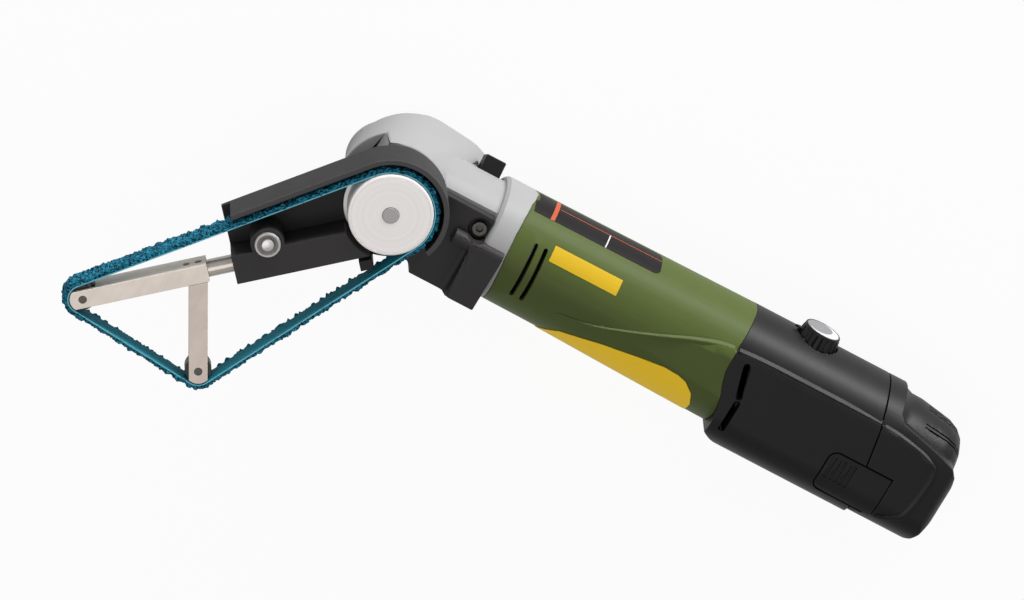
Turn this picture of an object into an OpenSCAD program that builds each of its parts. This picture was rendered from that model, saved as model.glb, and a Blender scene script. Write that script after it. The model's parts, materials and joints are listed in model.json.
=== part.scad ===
// Cordless pipe belt sander, lying on its far side.
// X runs along the handle to the battery, Y to the top of the tool, Z up from the rest plane.
// The origin is on the spindle axis, which is also the axis that the head swings about.

/* [Overall] */
// height of the handle axis above the rest plane
axis_h = 23.2; // [21:0.1:26]
// bend of the head against the handle, in degrees, as photographed
swing = 42; // [0:1:55]

/* [Gear housing] */
// radius of the round gear head at its near rim
head_r = 20.8; // [18.5:0.1:24]
// radius of the fuller far side of the gear head
head_back_r = 23.5; // [21:0.1:26]
// offset of that fuller far side along the handle
head_back_x = 9; // [4:0.5:12]
// radius of the far side of the gear head next to the neck
head_rear_r = 22.4; // [20:0.1:24]
// offset of that part along the handle
head_rear_x = 20.5; // [16:0.5:24]
// height of the near face of the gear head
head_top = 38; // [35:0.5:42]
// height of the ledge at the front of the gear head
ledge_h = 24.5; // [18:0.5:30]
// distance from the spindle to the front end of the raised near part
arch_front = 10; // [4:0.5:16]
// radius of the neck
neck_r = 19.8; // [17:0.1:21.5]
// radius of the collar at the end of the neck
collar_r = 22.4; // [20:0.1:25]
// distance from the spindle to the front of the collar
collar_x = 39; // [34:0.5:44]
// length of the collar
collar_len = 12; // [8:0.5:18]
// wall of the gear chamber and of the spigot
housing_wall = 2.8; // [2:0.1:4.5]
// length of the spigot that the handle shells clamp on
spigot_len = 6; // [3:0.5:9]
// thickness of the flange of the gear cap
cap_t = 2.5; // [1.5:0.1:4]

/* [Head carrier] */
// thickness of the carrier plate on the gear head
carrier_t = 4.5; // [3:0.1:6]
// gap between the carrier and the green shells
carrier_gap = 0.5; // [0.3:0.1:2]
// drop of the carrier below the handle axis
carrier_drop = 22; // [20:0.5:26]
// height of the upper edge of the carrier above the handle axis
carrier_rise = 12.4; // [9:0.1:15]
// thickness of the saddle over the collar
saddle_t = 2.2; // [1.2:0.1:4]
// radius of the half-round ridge
ridge_r = 3; // [2:0.1:4]
// radius of the head of the clamp screw
clamp_head_r = 2.75; // [2:0.05:3.5]
// radius of the shank of the clamp screw
clamp_shank_r = 1.5; // [1:0.05:2]
// length of the shank of the clamp screw
clamp_len = 9; // [6:0.5:14]

/* [Belt] */
// width of the belt
belt_w = 10; // [6:0.5:14]
// thickness of the belt with its fleece
belt_t = 2.6; // [1.5:0.1:3]
// distance along the arm from the spindle to the tip roller
tip_along = 118.6; // [105:0.1:130]
// drop of the bar below the spindle, seen in line
bar_drop = 7.6; // [6:0.1:9]
// distance along the arm from the spindle to the strut roller
strut_along = 83; // [78:0.1:90]
// drop of the strut roller below the spindle, seen in line
strut_drop = 45.2; // [38:0.1:52]

/* [Swing head] */
// thickness of the guard plate
plate_t = 2; // [1.2:0.1:3]
// thickness of the guard lip
lip_t = 2; // [1.2:0.1:3]
// gap between the belt and the guard lip
lip_gap = 0.9; // [0.5:0.1:2]
// distance along the arm to the free end of the guard lip
lip_along = 58; // [45:0.5:70]
// angle below the arm line where the lip ends behind the pulley, in degrees
lip_end = 62; // [40:1:66]
// distance along the arm to the outer end of the rod block
block_along = 61.3; // [54:0.1:68]
// height of the rod block across the arm
block_h = 11.4; // [9.5:0.1:14]
// radius of the latch ring
latch_r = 4.9; // [4:0.1:6]
// radius of the latch pin
latch_pin_r = 2.3; // [1.5:0.05:3]
// distance along the arm from the outer end of the rod block to the latch
latch_inset = 14.3; // [8:0.1:20]

/* [Arm] */
// radius of the tension rod
rod_r = 3.3; // [2.5:0.05:4]
// distance along the arm from the spindle to the inner end of the rod
rod_end = 32; // [28:0.5:38]
// spring travel of the arm
arm_travel = 6; // [3:0.5:8]
// distance along the arm to the inner end of the bar
bar_start = 71; // [68:0.5:76]
// height of the bar
bar_h = 7; // [6:0.1:9]
// width of the strut
strut_w = 7; // [5:0.1:9]
// radius of the two idle rollers
roller_r = 5; // [4:0.1:6]
// width of the two idle rollers
roller_w = 5.6; // [4:0.1:7]
// radius of the roller axles
axle_r = 1.5; // [1:0.05:2]
// radius of the rounded fork ends
fork_r = 4.9; // [3.8:0.1:5.1]

/* [Drive] */
// radius of the drive pulley under the belt
pulley_r = 16; // [14:0.1:17]
// extra radius of the rear flange of the pulley
flange_step = 1.2; // [0.6:0.1:2]
// thickness of the rear flange of the pulley
flange_t = 1.2; // [0.8:0.1:2]
// radius of the spindle
spindle_r = 3; // [2.5:0.05:3.5]
// outer radius of the two spindle bearings
bearing_r = 9.5; // [8:0.1:10]
// width of the two spindle bearings
bearing_w = 6; // [4:0.1:7]
// pitch radius of the pinion
pinion_r = 5; // [4:0.1:5.5]
// width of the pinion teeth
gear_face = 3; // [2:0.1:4]
// radius of the motor shaft
shaft_r = 2.5; // [2:0.05:3]
// radius of the motor can
motor_r = 17.5; // [15:0.1:18]
// length of the motor can
motor_len = 54; // [44:0.5:60]

/* [Handle] */
// radius of the green handle at the front
handle_r0 = 22.3; // [21:0.1:24]
// wall of the handle and of the rear shells
wall = 2.4; // [1.8:0.1:3]
// distance from the spindle to the joint between the green and the black shells
joint_x = 145.5; // [138:0.5:152]
// depth of the wave of that joint
joint_wave = 6; // [2:0.5:8]
// depth of the wave of the front edge of the green shells
front_wave = 3.5; // [0:0.5:5]
// distance from the spindle to the front end of the raised sides
hip_x = 74; // [66:0.5:84]
// length of the grip pad
pad_len = 64; // [50:0.5:70]
// distance from the spindle to the front of the grip pad
pad_x = 75.5; // [70:0.5:82]
// depth of the grip pad in the shell
pad_t = 1.2; // [0.8:0.1:1.6]
// height of the grip pad above the shell
pad_proud = 0.3; // [0:0.1:0.6]
// width of the vent slots
vent_w = 1.7; // [1:0.1:2.5]
// length of the vent slots
vent_len = 21; // [14:0.5:26]

/* [Rear shells] */
// depth of the rear shells below the handle axis
rear_drop = 28.2; // [26:0.1:31]
// corner radius of the rear shells
rear_corner = 14; // [11:0.5:15]
// rise of the raised sides above the round of the shells
hip_rise = 1.5; // [0.5:0.1:2]
// height of the upper edge of the raised sides above the handle axis
panel_top = 11.2; // [8:0.1:13]
// distance from the spindle to the battery seam
seam_x = 206.5; // [200:0.5:214]
// lean of the battery seam, as a run for each unit of height
seam_lean_share = 0.17; // [0:0.01:0.3]

/* [Speed dial] */
// distance from the spindle to the speed dial
dial_x = 171.5; // [166:0.5:178]
// radius of the dial
dial_r = 8.2; // [7:0.1:9.5]
// height of the dial
dial_h = 5.9; // [5:0.1:9]
// radius of the disc in the dial
disc_r = 6.7; // [5:0.1:7]
// number of finger grooves round the dial
dial_grooves = 14; // [8:1:24]

/* [Spindle lock] */
// distance from the spindle to the lock button
lock_x = 33; // [29:0.5:34]
// length of the lock button along the handle
lock_len = 8.2; // [6:0.1:10]
// width of the lock button across the handle
lock_w = 6; // [4:0.1:9]
// distance from the handle axis to the top of the lock button
lock_top = 25.9; // [24:0.1:29]
// tilt of the lock button to the far side, in degrees
lock_tilt = 25; // [0:1:40]
// travel of the lock button
lock_travel = 2.5; // [1:0.1:3]

/* [Battery] */
// distance from the spindle to the end of the battery
battery_end = 241.2; // [238:0.1:252]
// distance from the spindle to the inner end of the battery
battery_start = 168; // [164:0.5:176]
// height of the inner part of the battery above the handle axis
insert_top = 13.2; // [12.8:0.1:14]
// step of the battery below its raised side panels
panel_drop = 1.1; // [0.5:0.1:1.6]
// wall of the battery case
case_wall = 2; // [1.2:0.1:2.2]
// radius of a cell
cell_r = 8.9; // [8:0.05:9]
// length of a cell
cell_len = 61; // [50:0.5:62]
// length of the latch pad
latch_pad_len = 25.5; // [18:0.5:30]
// height of the latch pad across the side
latch_pad_h = 17; // [12:0.5:19]
// thickness of the latch pad
latch_pad_t = 1.6; // [1:0.1:1.8]
// travel of the latch pad
latch_pad_travel = 1; // [0.6:0.1:1.2]

/* [Fits] */
// running clearance of a shaft in its hole
run_fit = 0.05; // [0.02:0.01:0.1]
// clearance round pieces that slide or turn without a bearing
free_gap = 0.4; // [0.3:0.05:0.6]
// gap between the head and the carrier
swing_gap = 0.5; // [0.3:0.1:1]

/* [Hidden] */

// overrun of cuts
over = 0.5;
// size of the blocks that halve or trim a piece
reach = 130;
// roundness of large and of small curves
$fn = 96;
small_fn = 48;

// heights in the head, from the gear housing outwards
carrier_top = head_top + carrier_t;
plate_z = carrier_top + swing_gap;
plate_top = plate_z + plate_t;
ring_gap = 0.1;
ring_t = 0.7;
ring_grip = 0.8;
ring_w = 2;
ring_top = plate_top + ring_gap + ring_t;
snout_wall = 3.5;
snout_r = bearing_r + snout_wall;
snout_lip = 0.3;
snout_top = ring_top + snout_lip;
hub_wall = 3.5;
hub_r = snout_r + run_fit + hub_wall;
hub_depth = 2.5;
pulley_z = snout_top + free_gap;
belt_side_gap = 0.6;
belt_z = pulley_z + flange_t + belt_side_gap;
belt_top = belt_z + belt_w;
belt_off = 0.3;
pulley_proud = 1;
pulley_top = belt_top + pulley_proud;
pulley_edge = 0.7;
lip_proud = 0.5;
lip_top = belt_top + lip_proud;
block_proud = 0.2;
block_top = belt_top + block_proud;
rod_z = belt_z + belt_w / 2;
part_top = pulley_top + over;

// gear train
pinion_teeth = 10;
crown_teeth = 20;
crown_r = pinion_r * crown_teeth / pinion_teeth;
tooth_add_share = 0.12;
tooth_add = pinion_r * tooth_add_share;
tooth_clear_share = 0.08;
tooth_clear = pinion_r * tooth_clear_share;
tooth_t_share = 0.33;
tooth_t = 2 * PI * pinion_r / pinion_teeth * tooth_t_share;
crown_top = axis_h - pinion_r + tooth_add;
crown_t = 5;
crown_hub_r = 6;
chamber_gap = 1;
chamber_r = crown_r + gear_face / 2 + chamber_gap;
chamber_top = axis_h + pinion_r + chamber_gap;
cap_play = 0.1;
far_seat_lift = 1;
bearing_z = cap_t + far_seat_lift;
spigot_top = bearing_z + bearing_w + cap_play;
collar_end = collar_x + collar_len;
spigot_r = handle_r0 - wall;
shaft_bore_gap = 1.5;
motor_bearing_r = 8;
motor_bearing_w = 5;
motor_bearing_x = collar_x;
fan_gap = 1.6;
fan_w = 3.5;
fan_r = 14.5;
fan_x = collar_end + fan_gap;
motor_x = collar_end + spigot_len + free_gap;
motor_end = motor_x + motor_len;
shaft_tail = 2;
rotor_gap = 3.5;
rotor_r = motor_r - rotor_gap;
can_wall = 1.5;

// rear end of the handle and its outline
rear_half = axis_h;
handle_lift = 0.1;
rear_r = axis_h - handle_lift;
handle_start = collar_end - front_wave;
handle_len = joint_x - handle_start + joint_wave;
slope = (rear_r - handle_r0) / handle_len;
joint_y_shares = [1.3, 1, 0.91, 0.7, 0.46, 0.27, 0.1, -0.11, -0.3, -0.48, -0.68, -1, -1.3];
joint_x_shares = [0.06, 0.02, -0.12, -0.28, -0.48, -0.52, -0.48, -0.25, 0.05, 0.25, 0.42, 0.47, 0.5];
joint_line = [for (i = [0 : len(joint_y_shares) - 1])
    [joint_x + joint_wave * joint_x_shares[i], rear_r * joint_y_shares[i]]];

front_y_shares = [1.3, 1, 0.92, 0.72, 0.46, 0.09, -0.355, -0.76, -1, -1.3];
front_x_shares = [0.2, 0.2, -0.28, -0.61, -0.79, -0.73, -0.35, 0.1, 0.4, 0.45];
front_line = [for (i = [0 : len(front_y_shares) - 1])
    [collar_end + front_wave * front_x_shares[i], handle_r0 * front_y_shares[i]]];

// belt loop round the pulley and the two rollers, seen in line with the handle
tip_c = [-tip_along, -bar_drop];
strut_c = [-strut_along, -strut_drop];
loop_c = [[0, 0], tip_c, strut_c];
loop_r = [pulley_r, roller_r, roller_r];

function turn(a, b, ra, rb) = atan2(b[1] - a[1], b[0] - a[0]) - acos((ra - rb) / norm(b - a));
function on_circle(c, r, a) = [c[0] + r * cos(a), c[1] + r * sin(a)];

// area inside the belt line, grown outwards
module loop_area(grow) {
    for (i = [0 : 2]) {
        translate(loop_c[i]) circle(r = loop_r[i] + grow);
    }
    polygon([for (i = [0 : 2]) let (j = (i + 1) % 3,
        a = turn(loop_c[i], loop_c[j], loop_r[i], loop_r[j]))
        each [on_circle(loop_c[i], loop_r[i] + grow, a), on_circle(loop_c[j], loop_r[j] + grow, a)]]);
}

// points round the belt line, grown outwards
loop_steps = 24;
full_turn = 360;
function wrap(a) = a - full_turn * floor(a / full_turn);
function loop_turn(i) = turn(loop_c[i % 3], loop_c[(i + 1) % 3], loop_r[i % 3], loop_r[(i + 1) % 3]);
function loop_points(grow) = [for (i = [0 : 2]) let (from = loop_turn(i + 2),
    sweep = wrap(loop_turn(i) - from))
    each [for (k = [0 : loop_steps])
        on_circle(loop_c[i], loop_r[i] + grow, from + sweep * k / loop_steps)]];

// the head is drawn in line with the handle and bent to its rest angle
module bent() {
    rotate([0, 0, swing]) children();
}

// cylinder along the handle axis
module xrod(r, x0, x1) {
    translate([x0, 0, axis_h]) rotate([0, 90, 0]) cylinder(h = x1 - x0, r = r);
}

// upright tube
module tube(ro, ri, z0, z1) {
    translate([0, 0, z0]) difference() {
        cylinder(h = z1 - z0, r = ro);
        translate([0, 0, -over]) cylinder(h = z1 - z0 + 2 * over, r = ri);
    }
}

// upright rod
module zrod(r, z0, z1) {
    translate([0, 0, z0]) cylinder(h = z1 - z0, r = r);
}

// the near or the far half of the handle
module near_half() {
    intersection() {
        children();
        translate([-reach, -reach, axis_h]) cube([4 * reach, 2 * reach, reach]);
    }
}

module far_half() {
    intersection() {
        children();
        translate([-reach, -reach, axis_h - reach]) cube([4 * reach, 2 * reach, reach]);
    }
}

// upright prism through the whole handle
module through() {
    translate([0, 0, -reach]) linear_extrude(height = 3 * reach) children();
}

// straight round-ended slot along Y that cuts through everything
module slot_cut(length, width) {
    cube([width, length, 2 * reach], center = true);
    for (side = [-1, 1]) translate([0, side * length / 2, 0])
        cylinder(h = 2 * reach, d = width, center = true, $fn = small_fn);
}

// slot outline with round ends, from one point to another
module slot_line(a, b, w) {
    translate(a) circle(d = w, $fn = small_fn);
    translate(b) circle(d = w, $fn = small_fn);
    translate(a) rotate([0, 0, atan2(b[1] - a[1], b[0] - a[0])])
        translate([0, -w / 2]) square([norm(b - a), w]);
}

// rectangle with round corners
module round_box(w, h, r) {
    translate([r, 0]) square([w - 2 * r, h]);
    translate([0, r]) square([w, h - 2 * r]);
    for (x = [r, w - r], y = [r, h - r]) {
        translate([x, y]) circle(r = r, $fn = small_fn);
    }
}

// ring about the handle axis
module xring(ro, ri, x0, x1) {
    difference() {
        xrod(ro, x0, x1);
        xrod(ri, x0 - over, x1 + over);
    }
}

// rod along the arm, drawn in line with the handle
module arm_rod(r, from, to) {
    translate([-to, -bar_drop, rod_z]) rotate([0, 90, 0]) cylinder(h = to - from, r = r, $fn = small_fn);
}

// rod along Y at a place on the handle
module yrod(r, x, y0, y1) {
    translate([x, y0, axis_h]) rotate([-90, 0, 0]) cylinder(h = y1 - y0, r = r);
}

// area behind the wavy front edge of the green shells
module after_front() {
    polygon(concat([[collar_end + reach, -handle_r0 * front_y_shares[0]],
        [collar_end + reach, handle_r0 * front_y_shares[0]]], front_line));
}

// outside of the gear head, the neck and the collar
collar_round = 1.2;
module housing_outside() {
    difference() {
        union() {
            hull() {
                translate([head_back_x, 0, cap_t]) cylinder(h = over, r = head_back_r);
                translate([head_rear_x, 0, cap_t]) cylinder(h = over, r = head_rear_r);
                translate([0, 0, head_top - over]) cylinder(h = over, r = head_r);
            }
            xrod(neck_r, 0, collar_x + over);
        }
        translate([-arch_front - reach, -reach, ledge_h]) cube([reach, 2 * reach, reach]);
        translate([-reach, -reach, head_top]) cube([2 * reach, 2 * reach, reach]);
    }
    zrod(cap_r, cap_t, ledge_h);
    translate([collar_x, 0, axis_h]) rotate([0, 90, 0])
        cylinder(h = collar_round, r1 = collar_r - collar_round, r2 = collar_r);
    difference() {
        xrod(collar_r, collar_x + collar_round, collar_end + front_wave);
        through() after_front();
    }
}

// the lock button leans to the far side about the handle axis
module leaning() {
    translate([0, 0, axis_h]) rotate([-lock_tilt, 0, 0]) translate([0, 0, -axis_h]) children();
}

cap_r = chamber_r + housing_wall;
lock_pin_r = 2;
lock_low = 14;
lock_floor = lock_low - lock_travel - free_gap;
clamp_x = 35.2;
clamp_y = 5.8;
clamp_depth = 3;
clamp_room = 1.7;
clamp_floor = carrier_top - clamp_depth;
clamp_low = clamp_floor - clamp_len;

module gear_housing() {
    color("Silver") difference() {
        union() {
            housing_outside();
            xrod(spigot_r, collar_x, collar_end + spigot_len);
            zrod(snout_r, head_top - over, snout_top);
        }
        zrod(chamber_r, cap_t - over, chamber_top);
        zrod(spindle_r + shaft_bore_gap, chamber_top - over, head_top + over);
        zrod(bearing_r, head_top, snout_top + over);
        tube(snout_r + over, snout_r - ring_grip, plate_top + ring_gap, ring_top);
        xrod(pinion_r + tooth_add + shaft_bore_gap, 0, motor_bearing_x + over);
        xrod(motor_bearing_r, motor_bearing_x, motor_bearing_x + motor_bearing_w);
        xrod(spigot_r - housing_wall, motor_bearing_x + motor_bearing_w, collar_end + spigot_len + over);
        leaning() {
            translate([lock_x - lock_len / 2 - free_gap, lock_floor, axis_h - lock_w / 2 - free_gap])
                cube([lock_len + 2 * free_gap, reach, lock_w + 2 * free_gap]);
            yrod(lock_pin_r + run_fit, lock_x, 0, lock_floor + over);
        }
        translate([clamp_x, clamp_y, 0]) zrod(clamp_shank_r + run_fit, clamp_low - free_gap, head_top + over);
    }
}

cap_hole_r = 1.2;
cap_hole_depth = 1.4;
module gear_cap() {
    color("DimGray") difference() {
        union() {
            zrod(cap_r, 0, cap_t);
            zrod(chamber_r - cap_play, cap_t - over, spigot_top);
        }
        zrod(bearing_r, bearing_z, spigot_top + over);
        for (side = [-1, 1]) {
            translate([side * bearing_r, 0, 0]) zrod(cap_hole_r, -over, cap_hole_depth);
        }
    }
}

// outline of the carrier, as shares of its reach, rise and drop
carrier_reach = collar_end + front_wave * min(front_x_shares) - carrier_gap;
carrier_x_shares = [0.28, 0.81, 0.83, 0.76, 0.43, 0.25];
carrier_y_shares = [0.98, 0.96, 0, -1, -0.93, -0.6];
carrier_round_share = 0.94;
saddle_share = 0.75;
saddle_x = carrier_reach * saddle_share;
saddle_top = axis_h + collar_r + saddle_t;
skirt_share = 0.62;
skirt_z = axis_h * skirt_share;
ridge_share = 0.57;
ridge_x = carrier_reach * ridge_share;
notch_w = 6.4;
module head_carrier() {
    color("DimGray") difference() {
        union() {
            translate([0, 0, head_top]) linear_extrude(height = carrier_t) {
                circle(r = head_r * carrier_round_share);
                polygon([for (i = [0 : len(carrier_x_shares) - 1]) [carrier_reach * carrier_x_shares[i],
                    (carrier_y_shares[i] > 0 ? carrier_rise : carrier_drop) * carrier_y_shares[i]]]);
            }
            translate([saddle_x, -carrier_drop, skirt_z])
                cube([carrier_reach - saddle_x, carrier_drop, saddle_top - skirt_z]);
            translate([carrier_reach * carrier_x_shares[4], -carrier_drop, skirt_z])
                cube([saddle_x - carrier_reach * carrier_x_shares[4] + over, carrier_drop / 2,
                    carrier_top - skirt_z]);
            translate([ridge_x, 0, saddle_top - ridge_r]) rotate([0, 90, 0])
                cylinder(h = carrier_reach - ridge_x, r = ridge_r);
        }
        housing_outside();
        zrod(hub_r + free_gap, head_top - over, carrier_top + over);
        translate([clamp_x, clamp_y, 0]) {
            zrod(clamp_head_r + clamp_room, clamp_floor, part_top);
            zrod(clamp_shank_r + run_fit, head_top - over, part_top);
            translate([0, -clamp_head_r, clamp_floor]) cube([reach, notch_w, reach]);
        }
    }
}

ring_slot = 3;
module retaining_ring() {
    color("Gray") difference() {
        tube(snout_r + ring_w, snout_r - ring_grip, plate_top + ring_gap, ring_top);
        translate([0, -ring_slot / 2, plate_top]) cube([reach, ring_slot, reach]);
    }
}

module near_bearing() {
    color("LightSteelBlue") tube(bearing_r, spindle_r + run_fit, head_top, head_top + bearing_w);
}

module far_bearing() {
    color("LightSteelBlue") tube(bearing_r, spindle_r + run_fit, bearing_z, bearing_z + bearing_w);
}

module motor_bearing() {
    color("LightSteelBlue")
        xring(motor_bearing_r, shaft_r + run_fit, motor_bearing_x, motor_bearing_x + motor_bearing_w);
}

// area in front of the wavy joint between the green and the black shells
module before_joint() {
    polygon(concat([[joint_x - reach, -rear_r * joint_y_shares[0]],
        [joint_x - reach, rear_r * joint_y_shares[0]]], joint_line));
}

module handle_cone(grow) {
    translate([handle_start, 0, axis_h]) rotate([0, 90, 0])
        cylinder(h = handle_len, r1 = handle_r0 + grow, r2 = rear_r + grow);
}

// upper edge of the raised sides, as shares of their length and of their height at the joint
hip_x_shares = [0, 0.197, 0.343, 0.498, 0.652, 0.773, 0.831, 0.894, 0.955, 1.2];
hip_y_shares = [-0.84, -0.59, -0.304, 0.098, 0.518, 0.777, 0.866, 0.93, 0.97, 1];
hip_lead = 12;
hip_r0 = handle_r0 + slope * (hip_x - handle_start);
hip_len = joint_x + joint_wave - hip_x;
hip_slope = (rear_r + hip_rise - hip_r0) / hip_len;
hip_start = hip_x - hip_lead;
module hip_outline() {
    polygon(concat([[joint_x + reach, panel_top], [joint_x + reach, -handle_r0], [hip_start, -handle_r0]],
        [for (i = [0 : len(hip_x_shares) - 1])
        [hip_x + (joint_x - hip_x) * hip_x_shares[i], panel_top * hip_y_shares[i]]]));
}

// green handle with its raised sides, grown outwards
module handle_body(grow) {
    handle_cone(grow);
    intersection() {
        translate([hip_start, 0, axis_h]) rotate([0, 90, 0]) cylinder(h = hip_len + hip_lead,
            r1 = hip_r0 - hip_slope * hip_lead + grow, r2 = rear_r + hip_rise + grow);
        translate([hip_start, -reach, axis_h - rear_half]) cube([reach, 2 * reach, 2 * rear_half]);
        through() hip_outline();
    }
}

// outline of the grip pad, as shares of its length and of the handle radius
pad_x_shares = [0, 0.1, 0.33, 0.57, 0.73, 0.82, 0.88, 0.95, 0.99, 1, 1, -0.01];
pad_y_shares = [-0.9, -0.69, -0.51, -0.38, -0.315, -0.33, -0.375, -0.535, -0.755, -0.95, -1.2, -1.2];
module pad_outline() {
    polygon([for (i = [0 : len(pad_x_shares) - 1])
        [pad_x + pad_len * pad_x_shares[i], rear_r * pad_y_shares[i]]]);
}

// room for the grip pad
module pad_pocket() {
    intersection() {
        difference() {
            handle_body(wall);
            handle_cone(-pad_t);
        }
        through() pad_outline();
    }
}

module grip_pad() {
    color("Gold") difference() {
        intersection() {
            handle_body(pad_proud);
            through() pad_outline();
        }
        handle_cone(-pad_t);
        case_screw_holes(handle_screws_at);
    }
}

boss_r = 3.2;
screw_r = 1.4;
screw_head_r = 2.6;
screw_head_t = 2;
screw_len = 26;
screw_sink = 5;
handle_screw_x = motor_end + boss_r + free_gap;
handle_screw_y = 13;
handle_screws_at = [[handle_screw_x, handle_screw_y], [handle_screw_x, -handle_screw_y]];
rear_screw_inset = 12;
rear_screw_y = 14;
rear_screws_at = [[joint_x + rear_screw_inset, rear_screw_y], [joint_x + rear_screw_inset, -rear_screw_y]];

// screws that enter from the far side
module case_screws(at) {
    for (p = at) {
        translate(p) {
            zrod(screw_head_r, screw_sink, screw_sink + screw_head_t);
            zrod(screw_r, screw_sink + screw_head_t - over, screw_sink + screw_len);
        }
    }
}

module case_screw_holes(at) {
    for (p = at) {
        translate(p) {
            zrod(screw_head_r + free_gap, -reach, screw_sink + screw_head_t);
            zrod(screw_r, 0, screw_sink + screw_len + over);
        }
    }
}

module handle_screws() {
    color("Gray") case_screws(handle_screws_at);
}

module rear_screws() {
    color("Gray") case_screws(rear_screws_at);
}

rib_w = 2;
rib_inset = 10;
vent_x = 57.4;
vent_pitch = 4.2;
vent_lean = 1.5;
vent_n = 2;
module handle_shells() {
    difference() {
        intersection() {
            union() {
                difference() {
                    handle_body(0);
                    handle_cone(-wall);
                }
                for (x = [motor_x + rib_inset, motor_end - rib_inset]) {
                    xring(handle_r0 - wall / 2, motor_r, x, x + rib_w);
                }
                intersection() {
                    for (p = handle_screws_at) {
                        translate(p) zrod(boss_r, 0, 2 * axis_h);
                    }
                    handle_cone(-wall / 2);
                }
            }
            through() intersection() {
                before_joint();
                after_front();
            }
        }
        for (i = [0 : vent_n - 1]) translate([vent_x + i * vent_pitch, 0, axis_h])
            rotate([0, 0, atan(vent_lean / vent_len)]) slot_cut(vent_len, vent_w);
        pad_pocket();
        case_screw_holes(handle_screws_at);
    }
}

module handle_shell_near() {
    color("OliveDrab") near_half() handle_shells();
}

module handle_shell_far() {
    color("OliveDrab") far_half() handle_shells();
}

// cross section of the rear shells and of the battery, set in from the outside
module rear_section(inset, rise = hip_rise) {
    circle(r = rear_r - inset);
    intersection() {
        circle(r = rear_r + rise - inset);
        translate([-(rear_half - inset), 0]) square([2 * (rear_half - inset), panel_top - inset]);
    }
    translate([-(rear_half - inset), -(rear_drop - rear_corner)])
        square([2 * (rear_half - inset), rear_drop - rear_corner]);
    translate([-(rear_half - rear_corner), -(rear_drop - inset)])
        square([2 * (rear_half - rear_corner), rear_drop - inset]);
    for (side = [-1, 1]) {
        translate([side * (rear_half - rear_corner), -(rear_drop - rear_corner)])
            circle(r = rear_corner - inset);
    }
}

module along_handle(x0, x1) {
    translate([x0, 0, axis_h]) rotate([0, 90, 0]) linear_extrude(height = x1 - x0) children();
}

module rear_prism(inset, x0, x1) {
    along_handle(x0, x1) rear_section(inset);
}

// front outline of the rear shells, where they step down to the battery
step_x_shares = [-1.5, 0.4, 0.65, 1.1, 1.7, 2.2];
step_y_shares = [-0.1, 0, 0.25, 0.6, 0.92, 1.1];
module rear_outline() {
    polygon(concat([[joint_x + joint_wave * step_x_shares[0], reach]],
        [for (i = [0 : len(step_x_shares) - 1]) [joint_x + joint_wave * step_x_shares[i],
        -rear_r - (rear_drop - rear_r) * step_y_shares[i]]],
        [[joint_x + reach, -rear_drop - over], [joint_x + reach, reach]]));
}

// area behind the leaning battery seam
module behind_seam(gap) {
    polygon([[seam_x + gap - seam_lean_share * reach, reach],
        [seam_x + gap + seam_lean_share * reach, -reach],
        [seam_x + reach, -reach], [seam_x + reach, reach]]);
}

dial_sink = 2.1;
dial_lift = 0.3;
dial_floor = rear_r - dial_sink;
dial_base = dial_floor + dial_lift;
dial_top = dial_base + dial_h;
dial_boss_w = 1.5;
dial_boss_r = dial_r + free_gap + dial_boss_w;
dial_boss_t = 3;
stem_r = 2.5;
pot_gap = 0.6;
pot_low = insert_top + pot_gap;
step_depth_share = 2;
sleeve_front = joint_x + joint_wave * step_depth_share;
latch_pad_x = 193.5;
latch_pad_y = -5.5;
latch_pad_round = 3.5;
latch_pad_sink = 0.2;
latch_tail_gap = 0.1;
slot_a_shares = [[0.55, 0.33], [1.1, -0.18]];
slot_b_shares = [[1.2, -0.3], [1.2, -0.79]];
rear_vent_w = 2.6;

module rear_slot(shares) {
    slot_line([joint_x + joint_wave * shares[0][0], rear_r * shares[0][1]],
        [joint_x + joint_wave * shares[1][0], rear_r * shares[1][1]], rear_vent_w);
}

// outline of a latch pad, round at its front and straight at its rear end, grown by gaps
module latch_pad_outline(grow, tail) {
    translate([latch_pad_x - grow, latch_pad_y - latch_pad_h - grow]) {
        round_box(latch_pad_len / 2, latch_pad_h + 2 * grow, latch_pad_round + grow);
        translate([latch_pad_round + grow, 0])
            square([latch_pad_len - latch_pad_round + tail, latch_pad_h + 2 * grow]);
    }
}

module rear_shells() {
    difference() {
        union() {
            difference() {
                intersection() {
                    rear_prism(0, joint_x - 2 * joint_wave, seam_x + reach / 2);
                    through() rear_outline();
                }
                xrod(rear_r - wall, joint_x - reach, seam_x + reach);
                rear_prism(wall, sleeve_front, seam_x + reach);
            }
            intersection() {
                union() {
                    yrod(dial_boss_r, dial_x, dial_floor - dial_boss_t, rear_r);
                    for (p = rear_screws_at) {
                        translate(p) zrod(boss_r, 0, 2 * axis_h);
                    }
                }
                rear_prism(wall / 2, joint_x - joint_wave, seam_x);
            }
        }
        through() before_joint();
        through() behind_seam(0);
        pad_pocket();
        yrod(dial_r + free_gap, dial_x, dial_floor, reach);
        yrod(stem_r + run_fit, dial_x, 0, reach);
        through() rear_slot(slot_a_shares);
        through() rear_slot(slot_b_shares);
        through() {
            latch_pad_outline(free_gap, 0);
            translate([latch_pad_x + latch_pad_round, latch_pad_y - latch_pad_h - free_gap])
                square([reach, latch_pad_h + 2 * free_gap]);
        }
        case_screw_holes(rear_screws_at);
    }
}

module rear_shell_near() {
    color("DimGray") near_half() rear_shells();
}

module rear_shell_far() {
    color("DimGray") far_half() rear_shells();
}

plate_w = 2;
module motor_can() {
    color("Gray") difference() {
        xrod(motor_r, motor_x, motor_end);
        xrod(motor_r - can_wall, motor_x + plate_w, motor_end - plate_w);
        xrod(shaft_r + run_fit, motor_x - over, motor_end + over);
    }
}

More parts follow.
